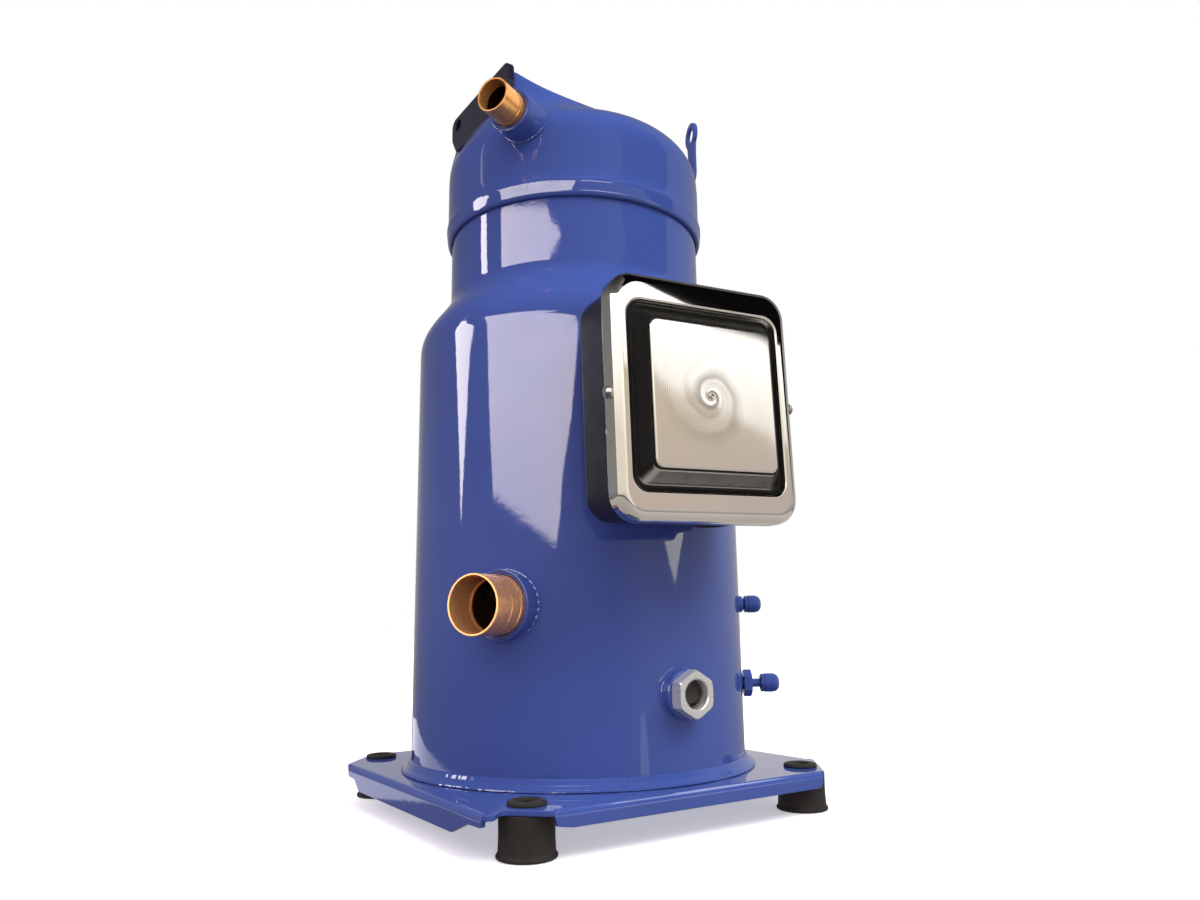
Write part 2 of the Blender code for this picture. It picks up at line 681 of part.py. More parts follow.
def make_recess_frame(cover, finishes):
    """Moulded insert behind the window: a groove round a block that stands proud of the face."""
    half_x = WINDOW_HALF_X - GAP
    half_y = WINDOW_HALF_Y - GAP
    top_x = PANEL_HALF_X + 0.0012
    top_y = PANEL_HALF_Y + 0.0012
    top = PANEL_FACE - 0.0018
    loops = [
        frame_loop(top_x - 0.0030, top_y - 0.0030, 0.0050, top - 0.0025),
        frame_loop(half_x - 0.0040, half_y - 0.0040, 0.0070, 0.1765),
        frame_loop(half_x - 0.0040, half_y - 0.0040, 0.0070, 0.1710),
        frame_loop(half_x, half_y, 0.0097, 0.1710),
        frame_loop(half_x, half_y, 0.0097, COVER_FACE - 0.0010),
        frame_loop(half_x - 0.0016, half_y - 0.0016, 0.0084, 0.1782),
        frame_loop(half_x - 0.0032, half_y - 0.0045, 0.0070, 0.1782),
        frame_loop(top_x, top_y, 0.0060, top),
    ]
    lofted("cover_recess_frame", loops, finishes["plastic"], cover)


def make_cover_panel(cover, finishes):
    low = PANEL_FACE - 0.0015
    loops = [
        frame_loop(PANEL_HALF_X, PANEL_HALF_Y, 0.0050, low),
        frame_loop(PANEL_HALF_X, PANEL_HALF_Y, 0.0050, PANEL_FACE - 0.0007),
        frame_loop(PANEL_HALF_X - 0.0014, PANEL_HALF_Y - 0.0014, 0.0040, PANEL_FACE),
    ]
    lofted("cover_panel", loops, finishes["chrome"], cover)


def make_cover_screw(cover, side, name, finishes):
    """Domed head outside the skirt, shank through it into the box's slot."""
    across = add_empty(f"screw_axis_{name}", cover, (0, 0, SCREW_DEPTH), (0, side * math.pi / 2, 0))
    head = COVER_HALF_X + GAP
    outline = [
        (0, head + 0.0036), (0.0018, head + 0.0032), (0.0034, head + 0.0016), (0.0038, head), (0.0019, head),
        (0.0019, 0.0560), (0, 0.0560),
    ]
    screw = turned_solid(f"cover_screw_{name}", outline, finishes["zinc"], across, SIDES_SMALL)
    low = (-0.0005, -0.0050, head + 0.0022)
    high = (0.0005, 0.0050, head + 0.0060)
    cut(screw, box(f"driver_slot_{name}", low, high, finishes["zinc"], across))


def make_terminal(holder, shell, finishes):
    """Welded seat through the shell, the hermetic plug in it, its pins and the block round them."""
    bore_through(shell, holder, SEAT_R + GAP, 0.09, 0.15, "terminal_hole", finishes["paint"])
    tube("terminal_seat", 0.0218, SEAT_R, 0.1090, 0.1350, finishes["steel"], holder, SIDES_FITTING)
    plug = disc("hermetic_terminal", 0.0215, 0.1130, 0.1180, finishes["steel"], holder, SIDES_FITTING)
    block = disc("terminal_block", 0.0205, 0.1183, 0.1300, finishes["plastic"], holder, SIDES_FITTING)
    for index in range(3):
        turn = math.pi / 2 + TURN * index / 3
        centre = (0.0105 * math.cos(turn), 0.0105 * math.sin(turn))
        for target, bore in ((plug, 0.0019), (block, 0.0032)):
            tool = prism(f"{target.name}_bore_{index}", circle(bore, 12, centre), 0.10, 0.14, finishes["steel"], holder)
            cut(target, tool)
        pin = disc(f"power_pin_{index + 1}", 0.0016, 0.1040, 0.1450, finishes["steel"], holder, 10)
        pin.location = (centre[0], centre[1], 0)


def make_earth_screw(holder, finishes):
    screw = prism("earth_screw", circle(0.0045, 6), BOX_BACK + BOX_WALL + GAP, 0.1352, finishes["zinc"], holder)
    screw.location = (0.038, -0.045, 0)


def make_terminal_box(root, shell, finishes):
    holder = outward("terminal_box_axis", root, BOX_AZIMUTH, BOX_Z, roll=BOX_ROLL)
    make_cable_grommet(make_box_body(holder, finishes), finishes)
    make_terminal(holder, shell, finishes)
    make_earth_screw(holder, finishes)
    cover = add_empty("cover_mover", holder)
    make_cover_rim(cover, finishes)
    make_recess_frame(cover, finishes)
    make_cover_panel(cover, finishes)
    make_cover_screw(cover, -1, "left", finishes)
    make_cover_screw(cover, 1, "right", finishes)


# ---------------------------------------------------------------- motor and shaft

def make_stator(root, finishes):
    tube("motor_housing", STATOR_R + GAP, 0.0925, 0.1180, 0.3445, finishes["steel"], root)
    outline = []
    slot_depth = 0.016
    for index in range(SLOT_COUNT):
        for share, radius in ((-0.06, 0), (-0.20, slot_depth), (0.20, slot_depth), (0.06, 0)):
            turn = TURN * (index + share) / SLOT_COUNT
            reach = STATOR_BORE_R + radius
            outline.append((reach * math.cos(turn), reach * math.sin(turn)))
    core = disc("stator_core", STATOR_R, STATOR_Z, STATOR_TOP_Z, finishes["lamination"], root)
    low = STATOR_Z - 0.01
    high = STATOR_TOP_Z + 0.01
    cut(core, prism("stator_bore", outline, low, high, finishes["lamination"], root))
    for name, low, high in (
        ("lower_winding", STATOR_Z - 0.0260, STATOR_Z - GAP),
        ("upper_winding", STATOR_TOP_Z + GAP, STATOR_TOP_Z + 0.0260),
    ):
        soft = 0.006
        outline = [
            (0.0580 + soft, low), (0.0820 - soft, low), (0.0820, low + soft), (0.0820, high - soft),
            (0.0820 - soft, high), (0.0580 + soft, high), (0.0580, high - soft), (0.0580, low + soft),
        ]
        turned_ring(name, outline, finishes["winding"], root, SIDES_FITTING)


def make_rotor(shaft, finishes):
    """Lamination stack with its cast end rings, one casting."""
    bore = SHAFT_R + GAP
    outline = [
        (bore, STATOR_Z), (0.030, STATOR_Z), (0.030, STATOR_Z - 0.008), (0.049, STATOR_Z - 0.008),
        (0.049, STATOR_Z), (ROTOR_R, STATOR_Z), (ROTOR_R, STATOR_TOP_Z), (0.049, STATOR_TOP_Z),
        (0.049, STATOR_TOP_Z + 0.008), (0.030, STATOR_TOP_Z + 0.008), (0.030, STATOR_TOP_Z), (bore, STATOR_TOP_Z),
    ]
    turned_ring("rotor", outline, finishes["aluminium"], shaft)


def half_ring(inner, outer, middle):
    """Outline of half a ring, centred on the direction called middle."""
    steps = 10
    turns = [middle - math.pi / 2 + math.pi * step / steps for step in range(steps + 1)]
    points = [(outer * math.cos(turn), outer * math.sin(turn)) for turn in turns]
    return points + [(inner * math.cos(turn), inner * math.sin(turn)) for turn in turns[::-1]]


def make_counterweights(shaft, finishes):
    """The upper weight lies opposite the crank pin, the lower one on its side."""
    top = STATOR_TOP_Z + 0.008 + GAP
    low = STATOR_Z - 0.008 - GAP
    upper = half_ring(0.031, 0.0485, -math.pi / 2)
    lower = half_ring(0.031, 0.0485, math.pi / 2)
    prism("upper_counterweight", upper, top, top + 0.016, finishes["iron"], shaft)
    prism("lower_counterweight", lower, low - 0.010, low, finishes["iron"], shaft)


def make_crankshaft(shaft, finishes):
    outline = [
        (0, 0.1080), (SHAFT_R - 0.001, 0.1080), (SHAFT_R, 0.1090), (SHAFT_R, 0.3628), (0.0195, 0.3628),
        (0.0195, 0.3718), (0, 0.3718),
    ]
    crank = turned_solid("crankshaft", outline, finishes["steel"], shaft, SIDES_FITTING)
    pin = circle(0.0115, SIDES_FITTING, (0, ORBIT_R))
    join(crank, prism("crank_pin", pin, 0.3700, 0.3870, finishes["steel"], shaft))


def make_oil_pickup(shaft, finishes):
    outline = [
        (0.0030, 0.0480), (0.0045, 0.0480), (0.0080, 0.0560), (0.0080, 0.1077), (0.0066, 0.1077), (0.0066, 0.0565),
    ]
    turned_ring("oil_pickup", outline, finishes["steel"], shaft, SIDES_SMALL)


def make_lower_bearing(root, finishes):
    outline = [
        (0.0203, 0.1110), (0.0280, 0.1110), (0.0280, 0.1120), (0.0925, 0.1120), (0.0925, 0.1177),
        (0.0280, 0.1177), (0.0280, 0.1340), (0.0203, 0.1340),
    ]
    spider = turned_ring("lower_bearing_bracket", outline, finishes["iron"], root)
    for index in range(4):
        middle = TURN * (index + 0.5) / 4
        window = []
        for reach, order in ((0.080, (-1, 1)), (0.040, (1, -1))):
            window += [
                (reach * math.cos(middle + side * 0.42), reach * math.sin(middle + side * 0.42)) for side in order
            ]
        cut(spider, prism(f"oil_return_{index}", window, 0.10, 0.13, finishes["iron"], root))
    tube("lower_bearing", SHAFT_R + GAP, 0.0200, 0.1112, 0.1338, finishes["bronze"], root, SIDES_FITTING)


# ---------------------------------------------------------------- scroll set

def make_main_frame(root, finishes):
    """Crankcase: bearing hub below, crank well, thrust face, ring channel and outer rim."""
    outline = [
        (0.0203, 0.3200), (0.0320, 0.3200), (0.0360, 0.3450), (0.0950, 0.3450), (0.0950, FRAME_RIM_Z),
        (0.0885, FRAME_RIM_Z), (0.0885, 0.3815), (0.0620, 0.3815), (0.0620, 0.3882), (0.0400, 0.3882),
        (0.0400, 0.3620), (0.0203, 0.3620),
    ]
    frame = turned_ring("main_frame", outline, finishes["iron"], root)
    half = OLDHAM_KEY_WIDTH / 2 + GAP
    for side in (-1, 1):
        low_x, high_x = sorted((side * 0.0623, side * 0.0883))
        cut(frame, box(f"key_slot_{side}", (low_x, -half, 0.3755), (high_x, half, 0.3830), finishes["iron"], root))
    tube("main_bearing", SHAFT_R + GAP, 0.0200, 0.3202, 0.3617, finishes["bronze"], root, SIDES_FITTING)


def make_oldham_ring(root, finishes):
    """Anti-rotation ring: two keys down into the frame's slots along X, two up into the scroll's along Y."""
    material = finishes["aluminium"]
    ring = tube("oldham_ring", 0.0682, 0.0820, 0.3820, 0.3875, material, root)
    half = OLDHAM_KEY_WIDTH / 2
    inner = 0.0690
    outer = 0.0812
    for side in (-1, 1):
        low, high = sorted((side * inner, side * outer))
        join(ring, box(f"frame_key_{side}", (low, -half, 0.3762), (high, half, 0.3840), material, root))
        join(ring, box(f"scroll_key_{side}", (-half, low, 0.3860), (half, high, 0.3940), material, root))


def involute(angle, lead):
    """Point on the involute of the wraps' base circle, its angle shifted by lead."""
    base = WRAP_PITCH / TURN
    turn = angle + lead
    return (base * (math.cos(angle) + turn * math.sin(angle)), base * (math.sin(angle) - turn * math.cos(angle)))


def wrap_outline(first):
    """Closed outline of one wrap: outer flank out, inner flank back, turned by first."""
    lead = WRAP_WALL / 2 / (WRAP_PITCH / TURN)
    count = round(WRAP_TURNS * WRAP_SIDES)
    angles = [WRAP_START + TURN * step / WRAP_SIDES for step in range(count + 1)]
    flat = [involute(angle, lead) for angle in angles]
    flat += [involute(angle, -lead) for angle in angles[::-1]]
    spin = (math.cos(first), math.sin(first))
    return [(x * spin[0] - y * spin[1], x * spin[1] + y * spin[0]) for x, y in flat]


def make_orbiting_scroll(orbit, finishes):
    material = finishes["aluminium"]
    outline = [
        (0, 0.3872), (0.0151, 0.3872), (0.0151, 0.3735), (0.0195, 0.3735), (0.0195, ORBIT_PLATE_Z),
        (0.0780, ORBIT_PLATE_Z), (0.0780, ORBIT_PLATE_TOP_Z), (0, ORBIT_PLATE_TOP_Z),
    ]
    scroll = turned_solid("orbiting_scroll", outline, material, orbit)
    wrap = wrap_outline(0.0)
    join(scroll, prism("orbiting_wrap", wrap, ORBIT_PLATE_TOP_Z - 0.002, ORBIT_WRAP_TOP_Z, material, orbit))
    # The key slots are wide enough for any place of the ring against any place of the scroll.
    half = OLDHAM_KEY_WIDTH / 2 + 2 * ORBIT_R + 0.0008
    for side in (-1, 1):
        low_y, high_y = sorted((side * 0.0620, side * 0.0900))
        cut(scroll, box(f"scroll_slot_{side}", (-half, low_y, 0.38), (half, high_y, 0.3950), material, orbit))


def make_fixed_scroll(root, finishes):
    material = finishes["iron"]
    outline = [
        (0, FIXED_PLATE_Z), (0.0700, FIXED_PLATE_Z), (0.0700, FRAME_RIM_Z + GAP), (0.0945, FRAME_RIM_Z + GAP),
        (0.0945, FIXED_PLATE_TOP_Z), (0, FIXED_PLATE_TOP_Z),
    ]
    scroll = turned_solid("fixed_scroll", outline, material, root)
    wrap = wrap_outline(math.pi)
    join(scroll, prism("fixed_wrap", wrap, FIXED_WRAP_Z, FIXED_PLATE_Z + 0.002, material, root))
    cut(scroll, prism("discharge_port", circle(0.0050, SIDES_SMALL), 0.42, 0.45, material, root))
    cut(scroll, box("suction_window", (0.064, -0.018, 0.39), (0.100, 0.018, 0.4200), material, root))


def make_discharge_valve(root, finishes):
    seat = FIXED_PLATE_TOP_Z + GAP
    disc("check_valve_disc", 0.0085, seat, seat + 0.0015, finishes["steel"], root, SIDES_SMALL)
    outline = [
        (0.0040, seat + 0.0050), (0.0090, seat + 0.0050), (0.0090, seat), (0.0130, seat), (0.0130, seat + 0.0080),
        (0.0040, seat + 0.0080),
    ]
    guard = turned_ring("check_valve_guard", outline, finishes["steel"], root, SIDES_SMALL)
    cut(guard, box("guard_window", (-0.004, -0.02, seat + 0.001), (0.004, 0.02, seat + 0.0042), finishes["steel"], root))


def make_separator(root, finishes):
    """Plate between the suction side below and the discharge dome above."""
    low = FIXED_PLATE_TOP_Z + GAP
    outline = [(0.0140, low), (0.0951, low), (0.0951, low + 0.0080), (0.0900, low + 0.0080), (0.0860, low + 0.0040), (0.0140, low + 0.0040)]
    turned_ring("separator_plate", outline, finishes["steel"], root)


# ---------------------------------------------------------------- assembly

def build():
    clear_scene()
    finishes = make_finishes()
    root = add_empty("compressor_axis", None, (AXIS_X, AXIS_Y, 0))

    shell = make_shell_body(root, finishes)
    make_bottom_cap(root, finishes)
    make_foot_weld(root, finishes)
    cap = make_top_cap(root, finishes)
    make_cap_bracket(root, finishes)
    make_lifting_lug(root, finishes)

    make_base_plate(root, finishes)
    for name, side_x, side_y in (
        ("foot_front_left", -1, -1), ("foot_front_right", 1, -1),
        ("foot_rear_right", 1, 1), ("foot_rear_left", -1, 1),
    ):
        make_grommet(name, root, side_x * FOOT_X, side_y * FOOT_Y, finishes)

    make_suction(root, shell, finishes)
    make_discharge(root, cap, finishes)
    make_sight_glass(root, shell, finishes)
    make_service_port(root, shell, finishes)
    make_oil_port(root, shell, finishes)
    make_terminal_box(root, shell, finishes)

    make_stator(root, finishes)
    make_lower_bearing(root, finishes)
    make_main_frame(root, finishes)
    shaft = add_empty("shaft_spin", root)
    make_crankshaft(shaft, finishes)
    make_rotor(shaft, finishes)
    make_counterweights(shaft, finishes)
    make_oil_pickup(shaft, finishes)
    orbit = add_empty("orbit_pin", shaft, (0, ORBIT_R, 0))
    tube("drive_bush", 0.0118, 0.0148, 0.3740, 0.3866, finishes["bronze"], orbit, SIDES_FITTING)
    make_orbiting_scroll(orbit, finishes)
    make_oldham_ring(root, finishes)
    make_fixed_scroll(root, finishes)
    make_discharge_valve(root, finishes)
    make_separator(root, finishes)


build()
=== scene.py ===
"""Looks of a hermetic scroll compressor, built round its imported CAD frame.  Metres, +Z up."""

import math

import bmesh
import bpy
import numpy as np
from mathutils import Matrix, Vector, noise


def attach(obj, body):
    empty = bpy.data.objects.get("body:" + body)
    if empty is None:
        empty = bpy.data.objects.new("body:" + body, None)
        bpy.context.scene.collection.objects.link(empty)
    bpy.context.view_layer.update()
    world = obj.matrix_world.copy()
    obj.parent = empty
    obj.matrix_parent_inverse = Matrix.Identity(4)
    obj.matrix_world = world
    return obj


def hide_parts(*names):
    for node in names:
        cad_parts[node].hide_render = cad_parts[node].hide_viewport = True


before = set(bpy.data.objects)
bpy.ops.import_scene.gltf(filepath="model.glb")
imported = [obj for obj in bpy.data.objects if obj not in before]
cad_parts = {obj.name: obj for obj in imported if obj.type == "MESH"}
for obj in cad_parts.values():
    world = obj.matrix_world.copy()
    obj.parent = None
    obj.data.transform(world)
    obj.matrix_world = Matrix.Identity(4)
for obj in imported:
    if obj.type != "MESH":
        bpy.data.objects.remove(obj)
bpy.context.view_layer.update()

TURN = 2 * math.pi
GAP = 0.0003

# ---------------------------------------------------------------- measures shared with the CAD part
AXIS_Y = 0.0250
AXIS = Matrix.Translation((0.0, AXIS_Y, 0.0))   # the shaft's axis
SHELL_R = 0.1215
NECK_R = 0.0989
SHELL_WALL = 0.0035
CAP_R = 0.1022
CAP_WALL = 0.0030
SHELL_FOOT_Z = 0.0283
SHOULDER_Z = 0.330
SHOULDER_RISE = 0.050
SHOULDER_BIAS = 1.25
NECK_TOP_Z = 0.452
CAP_EDGE_Z = 0.427
DOME_Z = 0.470
DOME_RISE = 0.0525
DOME_POWER = 2.5
SADDLE_X = -0.0845
SADDLE_TOP = [   # (x, z) along the top of the cap's raised end
    (SADDLE_X, 0.5390), (-0.060, 0.5350), (-0.040, 0.5300),
    (-0.015, 0.5235), (0.010, 0.5180), (0.062, 0.5000),
]
SADDLE_HALF_WIDTH = 0.0500
SADDLE_END_X = 0.040
CAP_MIDDLE_Z = 0.440
LIP_SWELL = 0.0011
PLATE_TOP_Z = 0.028
PLATE_THICK = 0.0032
PLATE_HALF = 0.142
FLAT_EDGE_Z = 0.0250   # where the plate's edge ends when it has no flange
FOOT_X = 0.1085
FOOT_Y = 0.1170
FITTING_AZIMUTH = 208.0
FITTING_OFFSET = 0.0155
SUCTION_BOSS_R = 0.0225
DISCHARGE_BOSS_R = 0.0165
SIGHT_BOSS_R = 0.0158
SERVICE_STEM_R = 0.0062
LOW_STEM_R = 0.0068
TERMINAL_SEAT_R = 0.0262
SUCTION_Z = 0.140
DISCHARGE_Z = 0.488
SIGHT_AZIMUTH = 271.0
PORT_AZIMUTH = 325.0
SERVICE_PORT_Z = 0.141
LOW_PORT_Z = 0.083
LUG_AZIMUTH = 342.0
BOX_AZIMUTH = 264.5
BOX_ROLL = 1.5
BOX_Z = 0.2611
BOX_HALF = (0.0632, 0.0728)
COVER_HALF = (0.0660, 0.0757)
COVER_FACE = 0.1810
COVER_SKIRT = 0.1690
WINDOW_HALF = (0.0552, 0.0577)
PANEL_HALF = (0.0442, 0.0450)
PANEL_FACE = 0.1883
SCREW_DEPTH = 0.1745
COVER_SHEET = 0.0015
CORNER_STEPS = 10
BEAD_SIDES = 8


# ---------------------------------------------------------------- materials

class Nodes:
    """Short ways to build a node tree."""

    def __init__(self, tree):
        self.tree = tree

    def node(self, kind, **settings):
        made = self.tree.nodes.new(kind)
        for key, value in settings.items():
            setattr(made, key, value)
        return made

    def link(self, source, target):
        self.tree.links.new(source, target)

    def feed(self, value, socket):
        """Link a socket's source, or set its constant."""
        if isinstance(value, bpy.types.NodeSocket):
            self.link(value, socket)
        else:
            socket.default_value = value

    def split(self, vector):
        """The x, y and z of a vector."""
        made = self.node("ShaderNodeSeparateXYZ")
        self.link(vector, made.inputs["Vector"])
        return [made.outputs[axis] for axis in "XYZ"]

    def ramp(self, source, stops):
        """stops are (position, grey or colour)."""
        made = self.node("ShaderNodeValToRGB")
        elements = made.color_ramp.elements
        while len(elements) < len(stops):
            elements.new(0.5)
        for element, (position, value) in zip(elements, stops):
            element.position = position
            colour = (value,) * 3 if isinstance(value, (int, float)) else tuple(value)
            element.color = (*colour, 1.0)
        self.link(source, made.inputs["Fac"])
        return made.outputs["Color"]

    def rescale(self, source, low, high, from_low=0.3, from_high=0.7):
        made = self.node("ShaderNodeMapRange")
        limits = {"From Min": from_low, "From Max": from_high, "To Min": low, "To Max": high}
        for key, value in limits.items():
            made.inputs[key].default_value = value
        self.link(source, made.inputs["Value"])
        return made.outputs["Result"]

    def math(self, operation, *values):
        made = self.node("ShaderNodeMath", operation=operation)
        for socket, value in zip(made.inputs, values):
            self.feed(value, socket)
        return made.outputs["Value"]

    def reach(self, x, y):
        """Distance from the z axis."""
        squares = [self.math("MULTIPLY", side, side) for side in (x, y)]
        return self.math("SQRT", self.math("ADD", *squares))


class Finish(Nodes):
    """A Principled material and short ways to hang procedural detail on it."""

    def __init__(self, name, **sockets):
        self.material = bpy.data.materials.new(name)
        self.material.use_nodes = True
        super().__init__(self.material.node_tree)
        self.shader = self.tree.nodes["Principled BSDF"]
        for key, value in sockets.items():
            self.shader.inputs[key.replace("_", " ").title()].default_value = value
        self.place = self.node("ShaderNodeTexCoord").outputs["Object"]
        self.bumped = None

    def mapped(self, scale=(1, 1, 1), location=(0, 0, 0), rotation=(0, 0, 0), where=None):
        made = self.node("ShaderNodeMapping")
        made.inputs["Location"].default_value = location
        made.inputs["Rotation"].default_value = rotation
        made.inputs["Scale"].default_value = scale
        self.link(where or self.place, made.inputs["Vector"])
        return made.outputs["Vector"]

    def own_axes(self, place):
        """Coordinates in the axes of a piece that stands at place."""
        inverse = place.inverted()
        return self.mapped(rotation=tuple(inverse.to_euler()), location=tuple(inverse.translation))

    def noise(self, scale, detail=3.0, rough=0.5, where=None):
        made = self.node("ShaderNodeTexNoise")
        made.inputs["Scale"].default_value = scale
        made.inputs["Detail"].default_value = detail
        made.inputs["Roughness"].default_value = rough
        self.link(where or self.place, made.inputs["Vector"])
        return made.outputs["Fac"]

    def colour(self, source):
        self.link(source, self.shader.inputs["Base Color"])

    def blend(self, share, first, second):
        """Mix a colour socket with a plain colour."""
        made = self.node("ShaderNodeMix", data_type="RGBA")
        self.link(share, made.inputs["Factor"])
        ends = [socket for socket in made.inputs if socket.type == "RGBA"]
        self.feed(first, ends[0])
        self.feed((*second, 1.0), ends[1])
        return [socket for socket in made.outputs if socket.type == "RGBA"][0]

    def roughness(self, source, low, high):
        self.link(self.rescale(source, low, high), self.shader.inputs["Roughness"])

    def bump(self, source, distance):
        made = self.node("ShaderNodeBump")
        made.inputs["Distance"].default_value = distance
        self.link(source, made.inputs["Height"])
        if self.bumped:
            self.link(self.bumped, made.inputs["Normal"])
        self.bumped = made.outputs["Normal"]
        self.link(self.bumped, self.shader.inputs["Normal"])


def shade(colour, factor):
    return tuple(min(max(value * factor, 0.0), 1.0) for value in colour)


def enamel(name, colour, peel=0.000016):
    """Glossy paint over steel: soft orange peel, slow changes of tone, a few dust specks."""
    made = Finish(name, roughness=0.07)
    made.shader.inputs["IOR"].default_value = 1.50
    made.shader.inputs["Coat Weight"].default_value = 0.35
    made.shader.inputs["Coat Roughness"].default_value = 0.03
    tone = made.noise(9.0, 2.0)
    base = made.ramp(tone, [(0.30, shade(colour, 0.93)), (0.70, shade(colour, 1.07))])
    specks = made.ramp(made.noise(900.0, 1.0), [(0.72, 0.0), (0.80, 1.0)])
    made.colour(made.blend(made.math("MULTIPLY", specks, 0.10), base, shade(colour, 2.2)))
    made.roughness(made.noise(60.0, 3.0), 0.030, 0.060)
    made.bump(made.noise(55.0, 2.0), peel * 3.0)
    made.bump(made.noise(420.0, 2.0), peel)
    return made.material


def metal(name, colour, low, high, scale=180.0, grain=0.00001, metallic=1.0, tint=None, spread=0.12):
    """Bare metal: mottled tone, uneven roughness and a fine surface grain."""
    made = Finish(name, metallic=metallic)
    base = made.ramp(
        made.noise(scale * 0.25, 4.0, 0.6),
        [(0.30, shade(colour, 1 - spread)), (0.55, colour), (0.75, tint or shade(colour, 1 + spread))],
    )
    made.colour(base)
    made.roughness(made.noise(scale, 4.0, 0.6), low, high)
    made.bump(made.noise(scale * 6, 3.0), grain)
    return made.material


def drawn_tube(name, colour, tint, place, bore, painted_shade_below):
    """Drawn copper: fine rings round the tube's own axis, which is z of place, and painted shade that
    darkens the bore to near black below a depth."""
    ring_pitch, ring_depth, band_pitch = 0.0016, 0.000006, 0.0062
    made = Finish(name, metallic=0.72)
    turn = made.own_axes(place)
    x, y, along = made.split(turn)
    rings = made.noise(1.0, 3.0, 0.6, where=made.mapped(scale=(20.0, 20.0, 1.0 / ring_pitch), where=turn))
    wall = made.ramp(rings, [(0.30, shade(colour, 0.95)), (0.52, colour), (0.72, tint)])
    # Painted shade: inside the bore and below the given depth the wall goes near black, where little light
    # reaches.
    within = made.math("LESS_THAN", made.reach(x, y), bore)
    deep = made.rescale(along, 1.0, 0.0, painted_shade_below - 0.0015, painted_shade_below)
    made.colour(made.blend(made.math("MULTIPLY", within, deep), wall, shade(colour, 0.035)))
    made.roughness(made.noise(160.0, 3.0), 0.20, 0.30)
    made.bump(rings, ring_depth)
    made.bump(made.math("SINE", made.math("MULTIPLY", along, TURN / band_pitch)), ring_depth * 1.5)
    return made.material


def moulded(name, colour, low, high, grain=0.00003, scale=1400.0, specular=0.5):
    """Moulded plastic or rubber: matt grain and worn, slightly lighter patches."""
    made = Finish(name)
    made.shader.inputs["Specular IOR Level"].default_value = specular
    made.colour(made.ramp(
        made.noise(38.0, 5.0, 0.6), [(0.32, shade(colour, 0.75)), (0.55, colour), (0.78, shade(colour, 1.7))],
    ))
    made.roughness(made.noise(90.0, 4.0), low, high)
    made.bump(made.noise(scale, 2.0), grain)
    return made.material


def cover_place(depth=0.0):
    return outward(BOX_AZIMUTH, BOX_Z, roll=BOX_ROLL) @ Matrix.Translation((0, 0, depth))


def outward(azimuth, height, offset=0.0, roll=0.0):
    """Places a piece whose z points out of the shell at an azimuth, y up, x along the shell."""
    a = math.radians(azimuth)
    shift = Matrix.Translation((-math.sin(a) * offset, math.cos(a) * offset, height))
    turn = Matrix.Rotation(a + math.pi / 2, 4, "Z") @ Matrix.Rotation(math.pi / 2, 4, "X")
    return AXIS @ shift @ turn @ Matrix.Rotation(math.radians(roll), 4, "Z")


def swirl_metal(name, colour):
    """Bright sheet with a plain turned swirl that fades out from its middle."""
    off_middle, swirl_reach, fine_pitch = 0.003, 0.040, TURN / 4200.0
    made = Finish(name, metallic=1.0)
    turn = made.own_axes(cover_place())
    across, y = made.split(turn)[:2]
    x = made.math("ADD", across, off_middle)
    reach = made.reach(x, y)
    angle = made.math("ARCTAN2", y, x)
    wander = made.math("MULTIPLY", made.noise(45.0, 1.0, where=turn), 2.0)
    winding_out = made.math("MULTIPLY", made.math("LOGARITHM", reach, math.e), 4.6)
    spiral = made.math("ADD", winding_out, angle)
    wave = made.math("SINE", made.math("ADD", spiral, wander))
    doubled = made.math("MULTIPLY", spiral, 2.0)
    second = made.math("SINE", made.math("ADD", doubled, made.math("MULTIPLY", wander, 1.4)))
    fine = made.math("SINE", made.math("ADD", made.math("MULTIPLY", reach, TURN / fine_pitch), angle))
    fade = made.rescale(reach, 1.0, 0.0, 0.001, swirl_reach)
    broad_lines = made.rescale(wave, 0.0, 0.8, 0.35, 1.0)
    narrow_lines = made.rescale(second, 0.0, 0.35, 0.3, 1.0)
    lines = made.math("ADD", broad_lines, narrow_lines)
    mark = made.math("MULTIPLY", lines, made.math("POWER", fade, 1.6))
    base = made.ramp(made.noise(30.0, 4.0, 0.6), [(0.3, shade(colour, 0.97)), (0.7, colour)])
    made.colour(made.blend(made.math("MULTIPLY", mark, 0.90), base, shade(colour, 0.20)))
    made.roughness(made.noise(70.0, 4.0), 0.055, 0.085)
    made.bump(fine, 0.0000012)
    made.bump(made.math("MULTIPLY", wave, fade), 0.00004)
    return made.material


BLUE = (0.052, 0.090, 0.315)
paint = enamel("blue_enamel", BLUE)
# The bracket's blue enamel is darkened to near black here: painted shade of a face that turns away from the
# lamps.
bracket_painted_shade = enamel("bracket_enamel_painted_shade", (0.020, 0.017, 0.038))
weld_paint = enamel("blue_enamel_on_weld", shade(BLUE, 1.02), 0.00003)
copper = metal("drawn_copper", (0.80, 0.42, 0.22), 0.16, 0.30, 220.0, 0.000012, tint=(0.90, 0.60, 0.38))
suction_place = outward(FITTING_AZIMUTH, SUCTION_Z, FITTING_OFFSET)
discharge_place = outward(FITTING_AZIMUTH, DISCHARGE_Z, FITTING_OFFSET)
suction_copper = drawn_tube(
    "suction_copper", (0.95, 0.47, 0.20), (0.96, 0.52, 0.25), suction_place, 0.0181, 0.1340,
)
discharge_copper = drawn_tube(
    "discharge_copper", (0.90, 0.42, 0.13), (0.93, 0.48, 0.18), discharge_place, 0.0116, 0.1300,
)
bright_cover = metal("bright_cover_sheet", (0.80, 0.775, 0.74), 0.016, 0.030, 40.0, 0.0000006, spread=0.04)
bright_pad = swirl_metal("turned_pad_sheet", (0.82, 0.795, 0.76))
box_plastic = moulded("black_moulded_box", (0.016, 0.0145, 0.0125), 0.28, 0.42, 0.00002, specular=0.40)
insert_plastic = moulded("black_moulded_insert", (0.010, 0.0095, 0.0080), 0.26, 0.40, 0.000015, specular=0.35)
